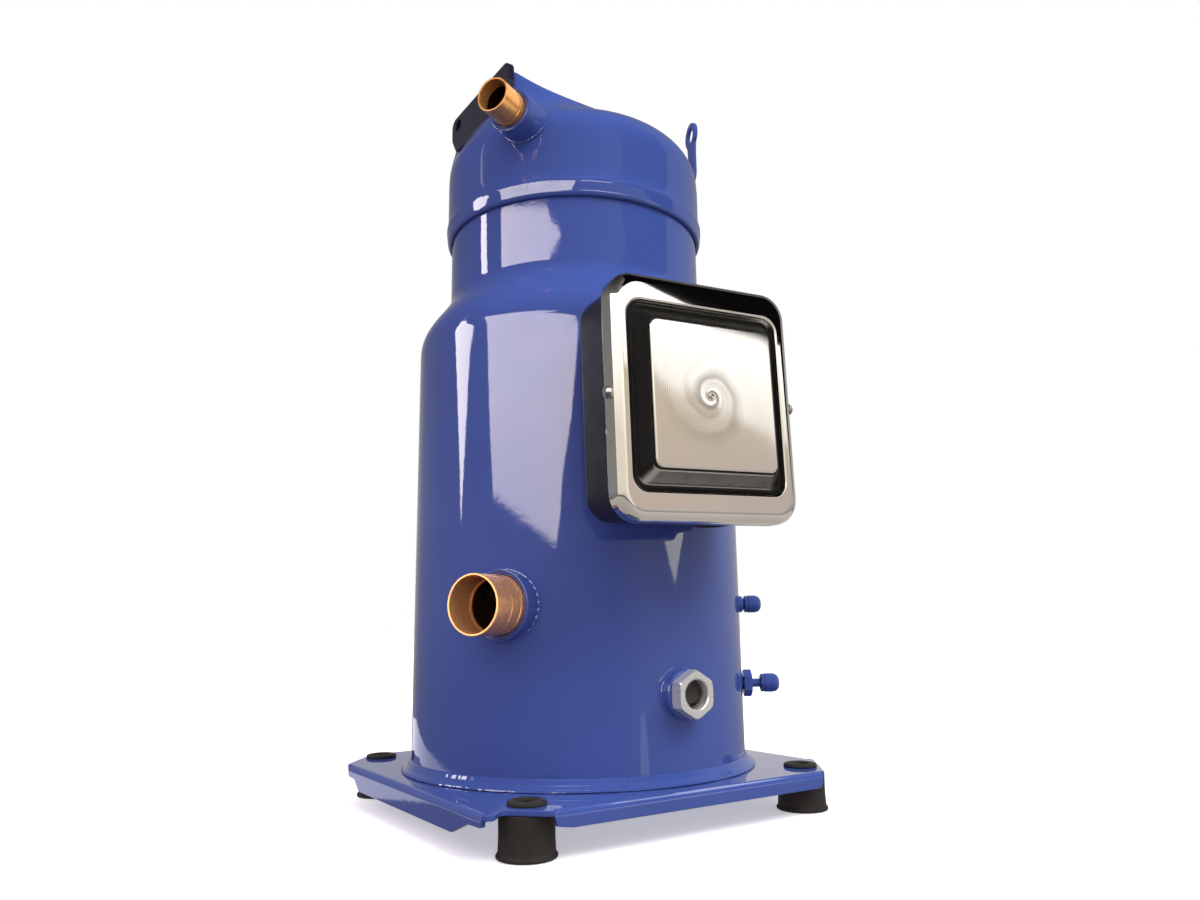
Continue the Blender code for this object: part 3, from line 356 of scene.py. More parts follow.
block_plastic = moulded("dark_terminal_block", (0.035, 0.030, 0.026), 0.35, 0.50)
rubber = moulded("black_rubber", (0.036, 0.031, 0.024), 0.50, 0.72, 0.00006, 900.0, 0.4)
zinc = metal("zinc_plated_brass", (0.80, 0.79, 0.74), 0.24, 0.40, 300.0, 0.000008, metallic=0.60, spread=0.05)
screw_zinc = metal("bright_zinc", (0.74, 0.73, 0.68), 0.16, 0.30, 500.0, 0.00001)
steel = metal("bright_turned_steel", (0.56, 0.56, 0.57), 0.18, 0.34, 260.0, 0.00001)
iron = metal("machined_cast_iron", (0.20, 0.20, 0.205), 0.38, 0.62, 420.0, 0.00008, metallic=0.85)
aluminium = metal("cast_aluminium", (0.70, 0.70, 0.71), 0.26, 0.44, 380.0, 0.00004)
bronze = metal("bearing_bronze", (0.60, 0.42, 0.20), 0.24, 0.40, 300.0, 0.00002)


def lamination_finish():
    """Stacked sheets: fine horizontal lines with a bluish oxide."""
    made = Finish("stacked_laminations", metallic=0.9)
    flat = made.mapped(scale=(3.0, 3.0, 1800.0))
    lines = made.noise(1.0, 2.0, 0.5, where=flat)
    made.colour(made.ramp(lines, [(0.35, (0.13, 0.13, 0.15)), (0.65, (0.34, 0.34, 0.37))]))
    made.roughness(made.noise(200.0), 0.35, 0.55)
    made.bump(lines, 0.0001)
    return made.material


def winding_finish():
    """Bundled enamelled wire: strands run round the bore."""
    made = Finish("enamelled_winding_wire", metallic=0.6)
    made.place = made.mapped(location=(0, -AXIS_Y, 0))
    x, y, z = made.split(made.place)
    wobble = made.math("MULTIPLY", made.noise(60.0, 2.0), 9.0)
    along = made.math("MULTIPLY", made.math("ADD", made.reach(x, y), z), 5200.0)
    strands = made.math("SINE", made.math("ADD", along, wobble))
    tone = made.rescale(strands, 0, 1, -1, 1)
    made.colour(made.ramp(tone, [(0.1, (0.20, 0.06, 0.02)), (0.7, (0.60, 0.25, 0.10))]))
    made.roughness(made.noise(160.0), 0.25, 0.42)
    made.bump(strands, 0.00025)
    return made.material


def glass_finish():
    """Thick sight glass, faintly green, with an oily film; its near-black browns are painted shade of the
    unlit sump behind it.
    """
    made = Finish("sump_sight_glass", roughness=0.05)
    made.shader.inputs["Coat Weight"].default_value = 1.0
    # Painted shade: near-black browns for the dark inside seen through the glass.
    made.colour(made.ramp(made.noise(160.0, 4.0, 0.6), [
        (0.35, (0.010, 0.007, 0.004)), (0.62, (0.026, 0.016, 0.010)), (0.8, (0.070, 0.045, 0.026)),
    ]))
    made.roughness(made.noise(120.0), 0.04, 0.12)
    made.bump(made.noise(260.0, 2.0), 0.00002)
    return made.material


laminations = lamination_finish()
winding = winding_finish()
sight_glass = glass_finish()


# ---------------------------------------------------------------- mesh helpers

def mesh_object(name, bm, place, material, sharp=35):
    bm.transform(place)
    bmesh.ops.recalc_face_normals(bm, faces=bm.faces)
    mesh = bpy.data.meshes.new(name)
    bm.to_mesh(mesh)
    bm.free()
    mesh.materials.append(material)
    mesh.shade_smooth()
    mesh.set_sharp_from_angle(angle=math.radians(sharp))
    made = bpy.data.objects.new(name, mesh)
    bpy.context.scene.collection.objects.link(made)
    return made


def add_piece(made, body, slot, *nodes, flat_faces=True):
    if flat_faces:
        # Flat faces stay flat in reflections, and only the rounded edges between them bend.
        modifier = made.modifiers.new("face_weighted_normals", "WEIGHTED_NORMAL")
        modifier.keep_sharp = True
        modifier.weight = 100
    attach(made, body)
    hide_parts(*nodes)
    return made


def apply_modifiers(made, sharp=35):
    graph = bpy.context.evaluated_depsgraph_get()
    mesh = bpy.data.meshes.new_from_object(made.evaluated_get(graph))
    made.modifiers.clear()
    made.data = mesh
    mesh.shade_smooth()
    mesh.set_sharp_from_angle(angle=math.radians(sharp))


def carve(made, tools, operation="DIFFERENCE", sharp=35):
    """Cut made with (bmesh, place) tools, or keep only what lies in them."""
    helpers = []
    for index, (bm, place) in enumerate(tools):
        tool = mesh_object(f"{made.name}_tool_{index}", bm, place, made.data.materials[0])
        modifier = made.modifiers.new(tool.name, "BOOLEAN")
        modifier.operation = operation
        modifier.solver = "EXACT"
        modifier.object = tool
        helpers.append(tool)
    apply_modifiers(made, sharp)
    for tool in helpers:
        bpy.data.objects.remove(tool, do_unlink=True)


def soften_edges(made, width):
    modifier = made.modifiers.new("soft_edges", "BEVEL")
    modifier.width = width
    modifier.segments = 3
    modifier.limit_method = "ANGLE"
    modifier.angle_limit = math.radians(40)
    apply_modifiers(made, 50)


def bend(corners, closed, steps=4):
    """Round the turns of a line of (x, y, how far back the bend starts)."""
    points = []
    count = len(corners)
    for index, corner in enumerate(corners):
        turn = Vector(corner[:2])
        back = corner[2] if len(corner) > 2 else 0.0
        if back <= 0 or (not closed and index in (0, count - 1)):
            points.append(tuple(turn))
            continue
        before = Vector(corners[index - 1][:2]) - turn
        after = Vector(corners[(index + 1) % count][:2]) - turn
        back = min(back, before.length * 0.49, after.length * 0.49)
        start = turn + before.normalized() * back
        end = turn + after.normalized() * back
        for step in range(steps + 1):
            share = step / steps
            point = start.lerp(turn, share).lerp(turn.lerp(end, share), share)
            points.append(tuple(point))
    return points


def turned(outline, sides, closed):
    """Spin (radius, height) points round z; a closed outline leaves a hole through the piece."""
    bm = bmesh.new()
    ring = [bm.verts.new((radius, 0.0, height)) for radius, height in outline]
    edges = [bm.edges.new(pair) for pair in zip(ring, ring[1:])]
    if closed:
        edges.append(bm.edges.new((ring[-1], ring[0])))
    bmesh.ops.spin(bm, geom=ring + edges, axis=(0, 0, 1), cent=(0, 0, 0), angle=TURN, steps=sides)
    bmesh.ops.remove_doubles(bm, verts=bm.verts, dist=1e-6)
    return bm


def prism(outline, low, high):
    bm = bmesh.new()
    face = bm.faces.new([bm.verts.new((x, y, low)) for x, y in outline])
    raised = bmesh.ops.extrude_face_region(bm, geom=[face])["geom"]
    tops = [item for item in raised if isinstance(item, bmesh.types.BMVert)]
    bmesh.ops.translate(bm, verts=tops, vec=(0, 0, high - low))
    return bm


def circle(radius, sides, centre=(0.0, 0.0)):
    turns = [TURN * step / sides for step in range(sides)]
    return [(centre[0] + radius * math.cos(turn), centre[1] + radius * math.sin(turn)) for turn in turns]


def drill(radius, sides, low, high, place, centre=(0.0, 0.0)):
    """A round cutter along z of place."""
    return prism(circle(radius, sides, centre), low, high), place


def block(low, high):
    corners = [(low[0], low[1]), (high[0], low[1]), (high[0], high[1]), (low[0], high[1])]
    return prism(corners, low[2], high[2])


def frame_loop(half, radius, depth):
    points = []
    for corner, (side_x, side_y) in enumerate([(1, 1), (-1, 1), (-1, -1), (1, -1)]):
        for step in range(CORNER_STEPS + 1):
            turn = math.pi / 2 * (corner + step / CORNER_STEPS)
            points.append((
                side_x * (half[0] - radius) + radius * math.cos(turn),
                side_y * (half[1] - radius) + radius * math.sin(turn),
                depth,
            ))
    return points


def inset(half, by):
    return (half[0] - by, half[1] - by)


def lofted(loops, ring=False):
    """Bridge loops of points; a ring closes on its first loop, else both ends are capped."""
    bm = bmesh.new()
    rows = [[bm.verts.new(point) for point in loop] for loop in loops]
    pairs = list(zip(rows, rows[1:]))
    if ring:
        pairs.append((rows[-1], rows[0]))
    for lower, upper in pairs:
        for index, corner in enumerate(lower):
            after = (index + 1) % len(lower)
            bm.faces.new([corner, lower[after], upper[after], upper[index]])
    if not ring:
        bm.faces.new(rows[0])
        bm.faces.new(rows[-1])
    return bm


def framed(sections, ring=False):
    """Loft of rounded rectangles, each (half sizes, corner radius, depth)."""
    return lofted([frame_loop(half, radius, depth) for half, radius, depth in sections], ring)


def stepped(half, rows):
    """Sections for framed from rows of (inset, corner radius, depth)."""
    return [(inset(half, by), radius, depth) for by, radius, depth in rows]


def rounded_over(half, corner, face, radius, tightening, steps):
    """Sections of a quarter-round edge that ends on a face."""
    rows = []
    for step in range(1, steps + 1):
        turn = math.pi / 2 * step / steps
        depth = face - radius * (1 - math.sin(turn))
        rows.append((radius * (1 - math.cos(turn)), corner - tightening * step / steps, depth))
    return stepped(half, rows)


def seam_bead(bm, radius, height, offset, thick, seed, count=96):
    """Weld bead where a round boss meets the shell, added to bm in the boss's own axes."""
    rows = []
    for step in range(count):
        turn = TURN * step / count
        across = offset + radius * math.cos(turn)
        wall = surface_radius(height + radius * math.sin(turn))
        reach = math.sqrt(max(wall * wall - across * across, 1e-6))
        grain = noise.noise((math.cos(turn) * 4, math.sin(turn) * 4, seed))
        lump = thick * (1 + 0.16 * math.sin(turn * 31 + seed) + 0.10 * grain)
        section = []
        for part in range(BEAD_SIDES):
            spin = TURN * part / BEAD_SIDES
            out = radius + lump * math.cos(spin)
            along = reach + 0.8 * lump * math.sin(spin)
            section.append(bm.verts.new((out * math.cos(turn), out * math.sin(turn), along)))
        rows.append(section)
    for index, row in enumerate(rows):
        after = rows[(index + 1) % count]
        for part in range(BEAD_SIDES):
            beside = (part + 1) % BEAD_SIDES
            bm.faces.new([row[part], row[beside], after[beside], after[part]])


def surface_radius(height):
    """Outer radius of the shell or cap at a height."""
    if height >= CAP_EDGE_Z:
        rise = min(max((height - DOME_Z) / DOME_RISE, 0.0), 0.999)
        return CAP_R * (1 - rise ** DOME_POWER) ** (1 / DOME_POWER)
    share = min(max((height - SHOULDER_Z) / SHOULDER_RISE, 0.0), 1.0) ** SHOULDER_BIAS
    return SHELL_R - (SHELL_R - NECK_R) * (1 - math.cos(math.pi * share)) / 2


# ---------------------------------------------------------------- shell and cap

def make_shell():
    rows = [SHELL_FOOT_Z + (SHOULDER_Z - SHELL_FOOT_Z) * step / 14 for step in range(14)]
    rows += [SHOULDER_Z + SHOULDER_RISE * step / 28 for step in range(29)]
    rows += [SHOULDER_Z + SHOULDER_RISE + 0.018 * step for step in range(1, 5)] + [NECK_TOP_Z]
    rows = [z for z in rows if z <= NECK_TOP_Z]
    outer = [(min(surface_radius(min(z, CAP_EDGE_Z - 0.001)), SHELL_R), z) for z in rows]
    inner = [(r - SHELL_WALL, max(z - SHELL_WALL / 2, SHELL_FOOT_Z)) for r, z in outer if z > SHELL_FOOT_Z]
    rim = [(NECK_R - SHELL_WALL, NECK_TOP_Z)]
    outline = outer + rim + inner[::-1] + [(SHELL_R - SHELL_WALL, SHELL_FOOT_Z)]
    shell = mesh_object("painted_shell", turned(outline, 192, True), AXIS, paint)
    carve(shell, [
        drill(SUCTION_BOSS_R + GAP, 72, 0.08, 0.16, suction_place),
        drill(SIGHT_BOSS_R + GAP, 64, 0.09, 0.15, outward(SIGHT_AZIMUTH, LOW_PORT_Z)),
        drill(SERVICE_STEM_R + GAP, 40, 0.10, 0.14, outward(PORT_AZIMUTH, SERVICE_PORT_Z)),
        drill(LOW_STEM_R + GAP, 40, 0.10, 0.14, outward(PORT_AZIMUTH, LOW_PORT_Z)),
        drill(TERMINAL_SEAT_R + GAP, 72, 0.09, 0.15, cover_place()),
    ])
    add_piece(shell, "compressor", "blue_paint", "shell_body", flat_faces=False)


def smooth_max(first, second, width):
    share = np.maximum(width - np.abs(first - second), 0) / width
    return np.maximum(first, second) + share * share * width / 4


def cap_distance(p):
    """Roughly how far points lie outside the cap: a full dome with a raised saddle at its -X end."""
    x, y, z = p[..., 0], p[..., 1], p[..., 2]
    reach = np.hypot(x, y)
    rise = np.maximum(z - DOME_Z, 0)
    power = DOME_POWER
    out, up = reach / CAP_R, rise / DOME_RISE
    size = np.maximum((out ** power + up ** power) ** (1 / power), 1e-3)
    slope = np.hypot(out ** (power - 1) / CAP_R, up ** (power - 1) / DOME_RISE)
    dome = (size - 1) / np.maximum(slope * size ** (1 - power), 1e-3)
    top = None
    for (x0, z0), (x1, z1) in zip(SADDLE_TOP, SADDLE_TOP[1:]):
        length = math.hypot(x1 - x0, z1 - z0)
        plane = ((z - z0) * (x1 - x0) - (x - x0) * (z1 - z0)) / length
        top = plane if top is None else smooth_max(top, plane, 0.004)
    saddle = smooth_max(top, np.abs(y) - SADDLE_HALF_WIDTH, 0.007)
    saddle = smooth_max(saddle, SADDLE_X - x, 0.005)
    saddle = smooth_max(saddle, x - SADDLE_END_X, 0.010)
    joined = -smooth_max(-dome, -saddle, 0.024)
    return smooth_max(joined, reach - CAP_R, 0.003)


def cap_surface(directions, centre):
    """How far along each direction the cap's outside lies, by halving."""
    low = np.zeros(directions.shape[:-1])
    high = np.full(directions.shape[:-1], 0.16)
    for _ in range(34):
        middle = (low + high) / 2
        outside = cap_distance(centre + directions * middle[..., None]) > 0
        high = np.where(outside, middle, high)
        low = np.where(outside, low, middle)
    return (low + high) / 2


def make_cap():
    centre = np.array((0.0, 0.0, CAP_MIDDLE_Z))
    around = 288
    down = 96
    turns = np.arange(around) * TURN / around
    falls = np.linspace(0, math.pi / 2, down + 1)[1:]
    directions = np.stack([
        np.sin(falls)[:, None] * np.cos(turns)[None, :],
        np.sin(falls)[:, None] * np.sin(turns)[None, :],
        np.repeat(np.cos(falls)[:, None], around, axis=1),
    ], axis=-1)
    reach = cap_surface(directions, centre)
    top = cap_surface(np.array([[0.0, 0.0, 1.0]]), centre)[0]
    bm = bmesh.new()
    outer = centre + directions * reach[..., None]
    inner = centre + directions * (reach - CAP_WALL)[..., None]
    swell = LIP_SWELL * np.clip(1 - (outer[..., 2] - 0.4390) / 0.0110, 0, 1) ** 2
    outer[..., :2] *= (1 + swell / np.hypot(outer[..., 0], outer[..., 1]).clip(0.01))[..., None]
    skirt = bend([
        (CAP_R + 0.0010, 0.4392), (CAP_R + 0.0011, 0.4375, 0.0014), (CAP_R + 0.0001, 0.4290, 0.0012),
        (CAP_R - 0.0010, CAP_EDGE_Z, 0.0010), (NECK_R + GAP, CAP_EDGE_Z, 0.0004), (NECK_R + GAP, 0.4385),
    ], False, 4)
    edge = [
        [(radius * math.cos(turn), radius * math.sin(turn), height) for turn in turns]
        for radius, height in skirt
    ]
    rows = [[bm.verts.new(point) for point in ring] for ring in [*outer, *edge, *inner[::-1]]]
    for upper, lower in zip(rows, rows[1:]):
        for index in range(around):
            after = (index + 1) % around
            bm.faces.new([upper[index], upper[after], lower[after], lower[index]])
    for tip_height, ring in ((centre[2] + top, rows[0]), (centre[2] + top - CAP_WALL, rows[-1])):
        tip = bm.verts.new((0, 0, tip_height))
        for index in range(around):
            bm.faces.new([tip, ring[index], ring[(index + 1) % around]])
    cap = mesh_object("painted_cap", bm, AXIS, paint, 40)
    carve(cap, [drill(DISCHARGE_BOSS_R + GAP, 64, 0.066, 0.16, discharge_place)], sharp=40)
    add_piece(cap, "compressor", "blue_paint", "top_cap", flat_faces=False)


def make_collar():
    """Lumpy weld collar where the shell stands on the plate."""
    inner = SHELL_R + GAP
    low = PLATE_TOP_Z + GAP
    outline = bend([
        (inner, low), (inner + 0.0066, low, 0.0003), (inner + 0.0060, low + 0.0016, 0.0012),
        (inner + 0.0024, low + 0.0034, 0.0016), (inner + 0.0007, low + 0.0068, 0.0012), (inner, low + 0.0072),
    ], False, 5)
    bm = turned(outline, 480, True)
    for vert in bm.verts:
        radius = math.hypot(vert.co.x, vert.co.y)
        if radius > inner + 0.0004 and vert.co.z > low + 0.0002:
            turn = math.atan2(vert.co.y, vert.co.x)
            ripple = 0.00010 * math.sin(turn * 118 + 2.0 * math.sin(turn * 5))
            lump = 0.00060 * noise.noise((math.cos(turn) * 5.5, math.sin(turn) * 5.5, 3.7))
            grown = radius + ripple + lump
            vert.co.x *= grown / radius
            vert.co.y *= grown / radius
    collar = mesh_object("shell_foot_weld", bm, AXIS, weld_paint, 60)
    add_piece(collar, "compressor", "blue_paint", "foot_weld", flat_faces=False)


def make_bracket():
    corners = [
        (-0.050, 0.522, 0.004), (-0.042, 0.509, 0.002), (0.042, 0.509, 0.002), (0.050, 0.522, 0.004),
        (0.050, 0.5395, 0.0085), (-0.050, 0.5395, 0.0085),
    ]
    place = AXIS @ Matrix.Translation((SADDLE_X - GAP, -0.004, 0)) @ Matrix.Rotation(-math.pi / 2, 4, "Z")
    place = place @ Matrix.Rotation(math.pi / 2, 4, "X")
    # The plate takes the near-black enamel, which is painted shade.
    plate = mesh_object("cap_bracket_plate", prism(bend(corners, True, 10), 0, 0.005), place, bracket_painted_shade)
    carve(plate, [drill(0.0047, 48, -0.01, 0.02, place, (side * 0.038, 0.5310)) for side in (-1, 1)])
    soften_edges(plate, 0.0006)
    add_piece(plate, "compressor", "blue_paint", "cap_bracket")


def make_lug():
    thick = 0.003
    foot = CAP_R + GAP
    head = 0.1055
    eye = 0.548
    stations = bend([(foot, 0.4520), (foot, 0.4980, 0.006), (head, 0.5080, 0.006), (head, 0.5605)], False, 8)
    outline = stations + [(radius + thick, height) for radius, height in stations[::-1]]
    place = AXIS @ Matrix.Rotation(math.radians(LUG_AZIMUTH), 4, "Z") @ Matrix.Rotation(math.pi / 2, 4, "X")
    lug = mesh_object("lifting_lug_strap", prism(outline, -0.0125, 0.0125), place, paint)
    look = outward(LUG_AZIMUTH, 0.0)
    shape = bend([
        (-0.0062, 0.5000, 0.004), (-0.0115, 0.4900, 0.003), (-0.0115, 0.4500, 0), (0.0115, 0.4500, 0),
        (0.0115, 0.4900, 0.003), (0.0062, 0.5000, 0.004), (0.0062, 0.530, 0),
    ], False, 5)
    turns = [math.radians(-50 + 280 * step / 40) for step in range(41)]
    shape += [(0.0112 * math.cos(turn), eye + 0.0112 * math.sin(turn)) for turn in turns]
    shape.append((-0.0062, 0.530))
    carve(lug, [(prism(shape, 0.08, 0.12), look)], "INTERSECT")
    carve(lug, [drill(0.0064, 40, 0.08, 0.12, look, (0, eye))])
    soften_edges(lug, 0.0005)
    add_piece(lug, "compressor", "blue_paint", "lifting_lug")


# ---------------------------------------------------------------- base plate and feet

def plate_edge():
    """Stations round the plate: (point, inward, how much flange, flange foot z)."""
    half = PLATE_HALF
    corners = [
        (-half, 0.098, 0.006), (-half, -0.1300, 0.0020), (-0.1365, -0.1318, 0.0020),
        (-0.1265, -0.1215, 0.004), (-0.106, -half, 0.004), (0.106, -half, 0.004),
    ]
    corners = corners + [(-x, -y, back) for x, y, back in corners]
    line = [Vector(p) for p in bend(corners, True, 8)]
    fine = []
    for start, end in zip(line, line[1:] + line[:1]):
        count = max(1, round((end - start).length / 0.0016))
        fine += [start.lerp(end, step / count) for step in range(count)]
    deep = [
        (-0.0950, FLAT_EDGE_Z), (-0.0945, 0.0215), (-0.0925, 0.0200), (-0.0800, 0.0195), (-0.0700, 0.0125),
        (0.0880, 0.0125), (0.1090, 0.0203), (0.1255, 0.0208), (0.1275, 0.0220), (0.1280, FLAT_EDGE_Z),
    ]
    shallow = [
        (-0.1045, FLAT_EDGE_Z), (-0.1035, 0.0195), (-0.0930, 0.0178),
        (0.1015, 0.0174), (0.1035, 0.0190), (0.1045, FLAT_EDGE_Z),
    ]
    stations = []
    for index, point in enumerate(fine):
        ahead = fine[(index + 1) % len(fine)] - fine[index - 1]
        inward = Vector((-ahead.y, ahead.x)).normalized()
        table, along = None, 0.0
        if abs(point.x) > half - 0.0006:
            table = deep
            along = point.y * (1 if point.x > 0 else -1)
        elif abs(point.y) > half - 0.0006:
            table, along = shallow, point.x * (1 if point.y < 0 else -1)
        depth = FLAT_EDGE_Z
        if table:
            depth = float(np.interp(along, *zip(*table)))
        share = min(max((FLAT_EDGE_Z - depth) / 0.0040, 0.0), 1.0)
        stations.append((point, inward, share, depth))
    return stations


def make_plate():
    """Pressed plate as one folded sheet: top, rounded fold, flange and the same back inside."""
    stations = plate_edge()
    top = PLATE_TOP_Z
    thick = PLATE_THICK
    under = top - thick
    plain_fold, flange_fold = 0.0006, 0.0036
    loops = []

    def loop(rule):
        points = []
        for point, inward, share, foot in stations:
            back, height = rule(share, foot)
            points.append((point.x + inward.x * back, point.y + inward.y * back, height))
        loops.append(points)

    steps = 6
    for step in range(steps + 1):
        turn = math.pi / 2 * step / steps
        loop(lambda share, foot: (
            (plain_fold + flange_fold * share) * (1 - math.sin(turn)),
            top - (plain_fold + flange_fold * share) * (1 - math.cos(turn)),
        ))
    loop(lambda share, foot: (0.0, min(foot, under + 0.0004) + 0.0003))
    loop(lambda share, foot: (0.0004, min(foot, under)))
    loop(lambda share, foot: (0.0006 + (thick - 0.0010) * share, min(foot, under)))
    loop(lambda share, foot: (0.0008 + (thick - 0.0008) * share, min(foot, under) + 0.0003 * share))
    loop(lambda share, foot: (
        0.0010 + (thick - 0.0010) * share, under - 0.0014 * share * (foot < under - 0.003),
    ))
    loop(lambda share, foot: (0.0014 + thick * share, under))
    plate = mesh_object("pressed_base_plate", lofted(loops), AXIS, paint, 40)
    places = [(x, y) for x in (-FOOT_X, FOOT_X) for y in (-FOOT_Y, FOOT_Y)]
    carve(plate, [drill(0.0095, 48, 0, 0.05, AXIS, place) for place in places], sharp=40)
    add_piece(plate, "compressor", "blue_paint", "base_plate")


def make_feet():
    low = PLATE_TOP_Z - PLATE_THICK
    outline = bend([
        (0.0056, 0.0, 0.0006), (0.0168, 0.0, 0.0005), (0.0176, 0.0007, 0.0005), (0.0176, 0.0018, 0.0006),
        (0.0164, 0.0034, 0.0014), (0.0160, 0.0120, 0.004), (0.0162, 0.0200, 0.003),
        (0.0164, low - GAP, 0.0008), (0.0092, low - GAP, 0.0002),
        (0.0092, PLATE_TOP_Z + GAP, 0.0002), (0.0115, PLATE_TOP_Z + GAP, 0.0004),
        (0.0112, PLATE_TOP_Z + 0.0020, 0.0008), (0.0100, PLATE_TOP_Z + 0.0026, 0.0008),
        (0.0066, PLATE_TOP_Z + 0.0026, 0.0007), (0.0056, PLATE_TOP_Z + 0.0014, 0.0006),
    ], True, 4)
    for end, y in (("front", -FOOT_Y), ("rear", FOOT_Y)):
        for side, x in (("left", -FOOT_X), ("right", FOOT_X)):
            place = AXIS @ Matrix.Translation((x, y, 0))
            foot = mesh_object(f"rubber_foot_{end}_{side}", turned(outline, 64, True), place, rubber)
            add_piece(foot, "compressor", "black_rubber", f"foot_{end}_{side}")


# ---------------------------------------------------------------- copper connections

def make_connection(name, place, height, boss, stub, drawn, bead, seed):
    ring = turned(bend(boss, True, 5), 96, True)
    seam_bead(ring, boss[1][0], height, FITTING_OFFSET, bead, seed, 120)
    made = mesh_object(f"{name}_boss_ring", ring, place, weld_paint, 50)
    add_piece(made, "compressor", "blue_paint", f"{name}_boss")
    made = mesh_object(f"{name}_copper_stub", turned(bend(stub, True, 4), 96, True), place, drawn, 40)
    add_piece(made, "compressor", "copper", f"{name}_stub")


def make_connections():
    boss = [
        (0.0193, 0.1120), (SUCTION_BOSS_R, 0.1120), (SUCTION_BOSS_R, 0.1275, 0.0014),
        (0.0212, 0.1275, 0.0004), (0.0208, 0.1268, 0.0005), (0.0193, 0.1268, 0.0003),
    ]
    stub = [
        (0.0158, 0.1080), (0.0190, 0.1080), (0.0190, 0.1290), (0.01862, 0.1298, 0.0006),
        (0.01862, 0.1306, 0.0006), (0.0190, 0.1316, 0.0006), (0.0190, 0.1392, 0.0004),
        (0.01878, 0.1397, 0.0003), (0.0190, 0.1402, 0.0004), (0.0190, 0.1546, 0.0005),
        (0.01745, 0.1546, 0.0005), (0.01745, 0.1340, 0.0010), (0.0158, 0.1322, 0.0010),
    ]
    make_connection("suction", suction_place, SUCTION_Z, boss, stub, suction_copper, 0.0017, 1.0)
    boss = [
        (0.0127, 0.0795), (DISCHARGE_BOSS_R, 0.0795), (DISCHARGE_BOSS_R, 0.1180, 0.0020),
        (0.0143, 0.1180, 0.0006), (0.0136, 0.1171, 0.0005), (0.0127, 0.1171, 0.0002),
    ]
    stub = [
        (0.0098, 0.0760), (0.0124, 0.0760), (0.0124, 0.1205), (0.01212, 0.1212, 0.0005),
        (0.01212, 0.1218, 0.0005), (0.0124, 0.1226, 0.0005), (0.0124, 0.1390, 0.0004),
        (0.0111, 0.1390, 0.0004), (0.0111, 0.1200, 0.0008), (0.0098, 0.1184, 0.0008),
    ]
    make_connection("discharge", discharge_place, DISCHARGE_Z, boss, stub, discharge_copper, 0.0013, 5.0)


# ---------------------------------------------------------------- sight glass and ports

def chamfered_hex(radius, low, high, chamfer, bore_outline):
    """Hexagon whose corners are turned off at both ends, with a stepped bore."""
    turns = [TURN * step / 96 for step in range(96)]
    edge = chamfer * 0.6
    rows = []
    for depth, limit in (
        (low, radius - chamfer), (low + edge, radius), (high - edge, radius), (high, radius - chamfer),
    ):
        row = []
        for turn in turns:
            local = (turn + math.pi / 6) % (math.pi / 3) - math.pi / 6
            reach = min(radius * math.cos(math.pi / 6) / math.cos(local), limit)
            row.append((reach * math.cos(turn), reach * math.sin(turn), depth))
        rows.append(row)
    for reach, depth in bore_outline:
        rows.append([(reach * math.cos(turn), reach * math.sin(turn), depth) for turn in turns])
    return lofted(rows, ring=True)


def make_sight_glass():
    place = outward(SIGHT_AZIMUTH, LOW_PORT_Z)
    boss = bend([
        (0.0129, 0.1120), (SIGHT_BOSS_R, 0.1120), (SIGHT_BOSS_R, 0.1270, 0.0014), (0.0129, 0.1270, 0.0003),
    ], True, 5)
    ring = turned(boss, 80, True)
    seam_bead(ring, SIGHT_BOSS_R, LOW_PORT_Z, 0.0, 0.0012, 8.0)
    made = mesh_object("sight_boss_ring", ring, place, weld_paint, 50)
    add_piece(made, "compressor", "blue_paint", "sight_glass_boss")
    bore = [
        (0.0100, 0.1359), (0.0092, 0.1353), (0.0090, 0.1314), (0.0090, 0.1265),
        (0.0080, 0.1265), (0.0080, 0.1130), (0.0126, 0.1130), (0.0126, 0.1273),
    ]
    hexagon = chamfered_hex(0.0154, 0.1273, 0.1359, 0.0011, bore)
    made = mesh_object("sight_glass_hex", hexagon, place, zinc, 30)
    add_piece(made, "compressor", "zinc_plate", "sight_glass_body")
    lens = bend([
        (0.0, 0.1268), (0.0087, 0.1268), (0.0087, 0.1308, 0.0006), (0.0074, 0.1312, 0.0008),
        (0.0056, 0.1302, 0.0012), (0.0, 0.1298),
    ], False, 5)
    glass = mesh_object("sight_glass_lens_disc", turned(lens, 64, False), place, sight_glass, 30)
    add_piece(glass, "compressor", "sight_glass", "sight_glass_lens")


def knurled_cap(low, high, radius, bore):
    """Domed screw cap with a grip of fine flutes and a plain collar at its open end."""
    flute_depth, flutes = 0.00022, 24
    outline = bend([
        (bore, low, 0.0002), (radius - 0.0008, low, 0.0003), (radius - 0.0002, low + 0.0006, 0.0004),
        (radius - 0.0002, low + 0.0018, 0.0003), (radius - 0.0008, low + 0.0022, 0.0002),
        (radius, low + 0.0028, 0.0003), (radius, high - 0.0046, 0.0014),
        (radius * 0.86, high - 0.0018, 0.0014), (radius * 0.50, high - 0.0002, 0.0016), (0.0, high),
    ], False, 4)
    inside = [(0.0, high - 0.0035), (bore, high - 0.0035)]
    bm = turned(inside + outline, 96, False)
    for vert in bm.verts:
        reach = math.hypot(vert.co.x, vert.co.y)
        if reach > radius - 0.0003 and low + 0.0026 < vert.co.z < high - 0.0042:
            turn = math.atan2(vert.co.y, vert.co.x)
            grown = reach - flute_depth * (0.5 - 0.5 * math.cos(turn * flutes))
            vert.co.x *= grown / reach
            vert.co.y *= grown / reach
    return bm


def make_port(name, height, stem, radius, bead, seed, cap):
    """A painted stem with its weld bead, and the cap on it, given as knurled_cap's values."""
    place = outward(PORT_AZIMUTH, height)
    ring = turned(stem, 48, True)
    seam_bead(ring, radius, height, 0.0, bead, seed)
    made = mesh_object(f"{name}_port_stem", ring, place, paint, 40)
    add_piece(made, "compressor", "blue_paint", f"{name}_port_body")
    made = mesh_object(f"{name}_port_knurled_cap", knurled_cap(*cap), place, paint, 40)
    add_piece(made, f"{name}_cap", "blue_paint", f"{name}_port_cap")


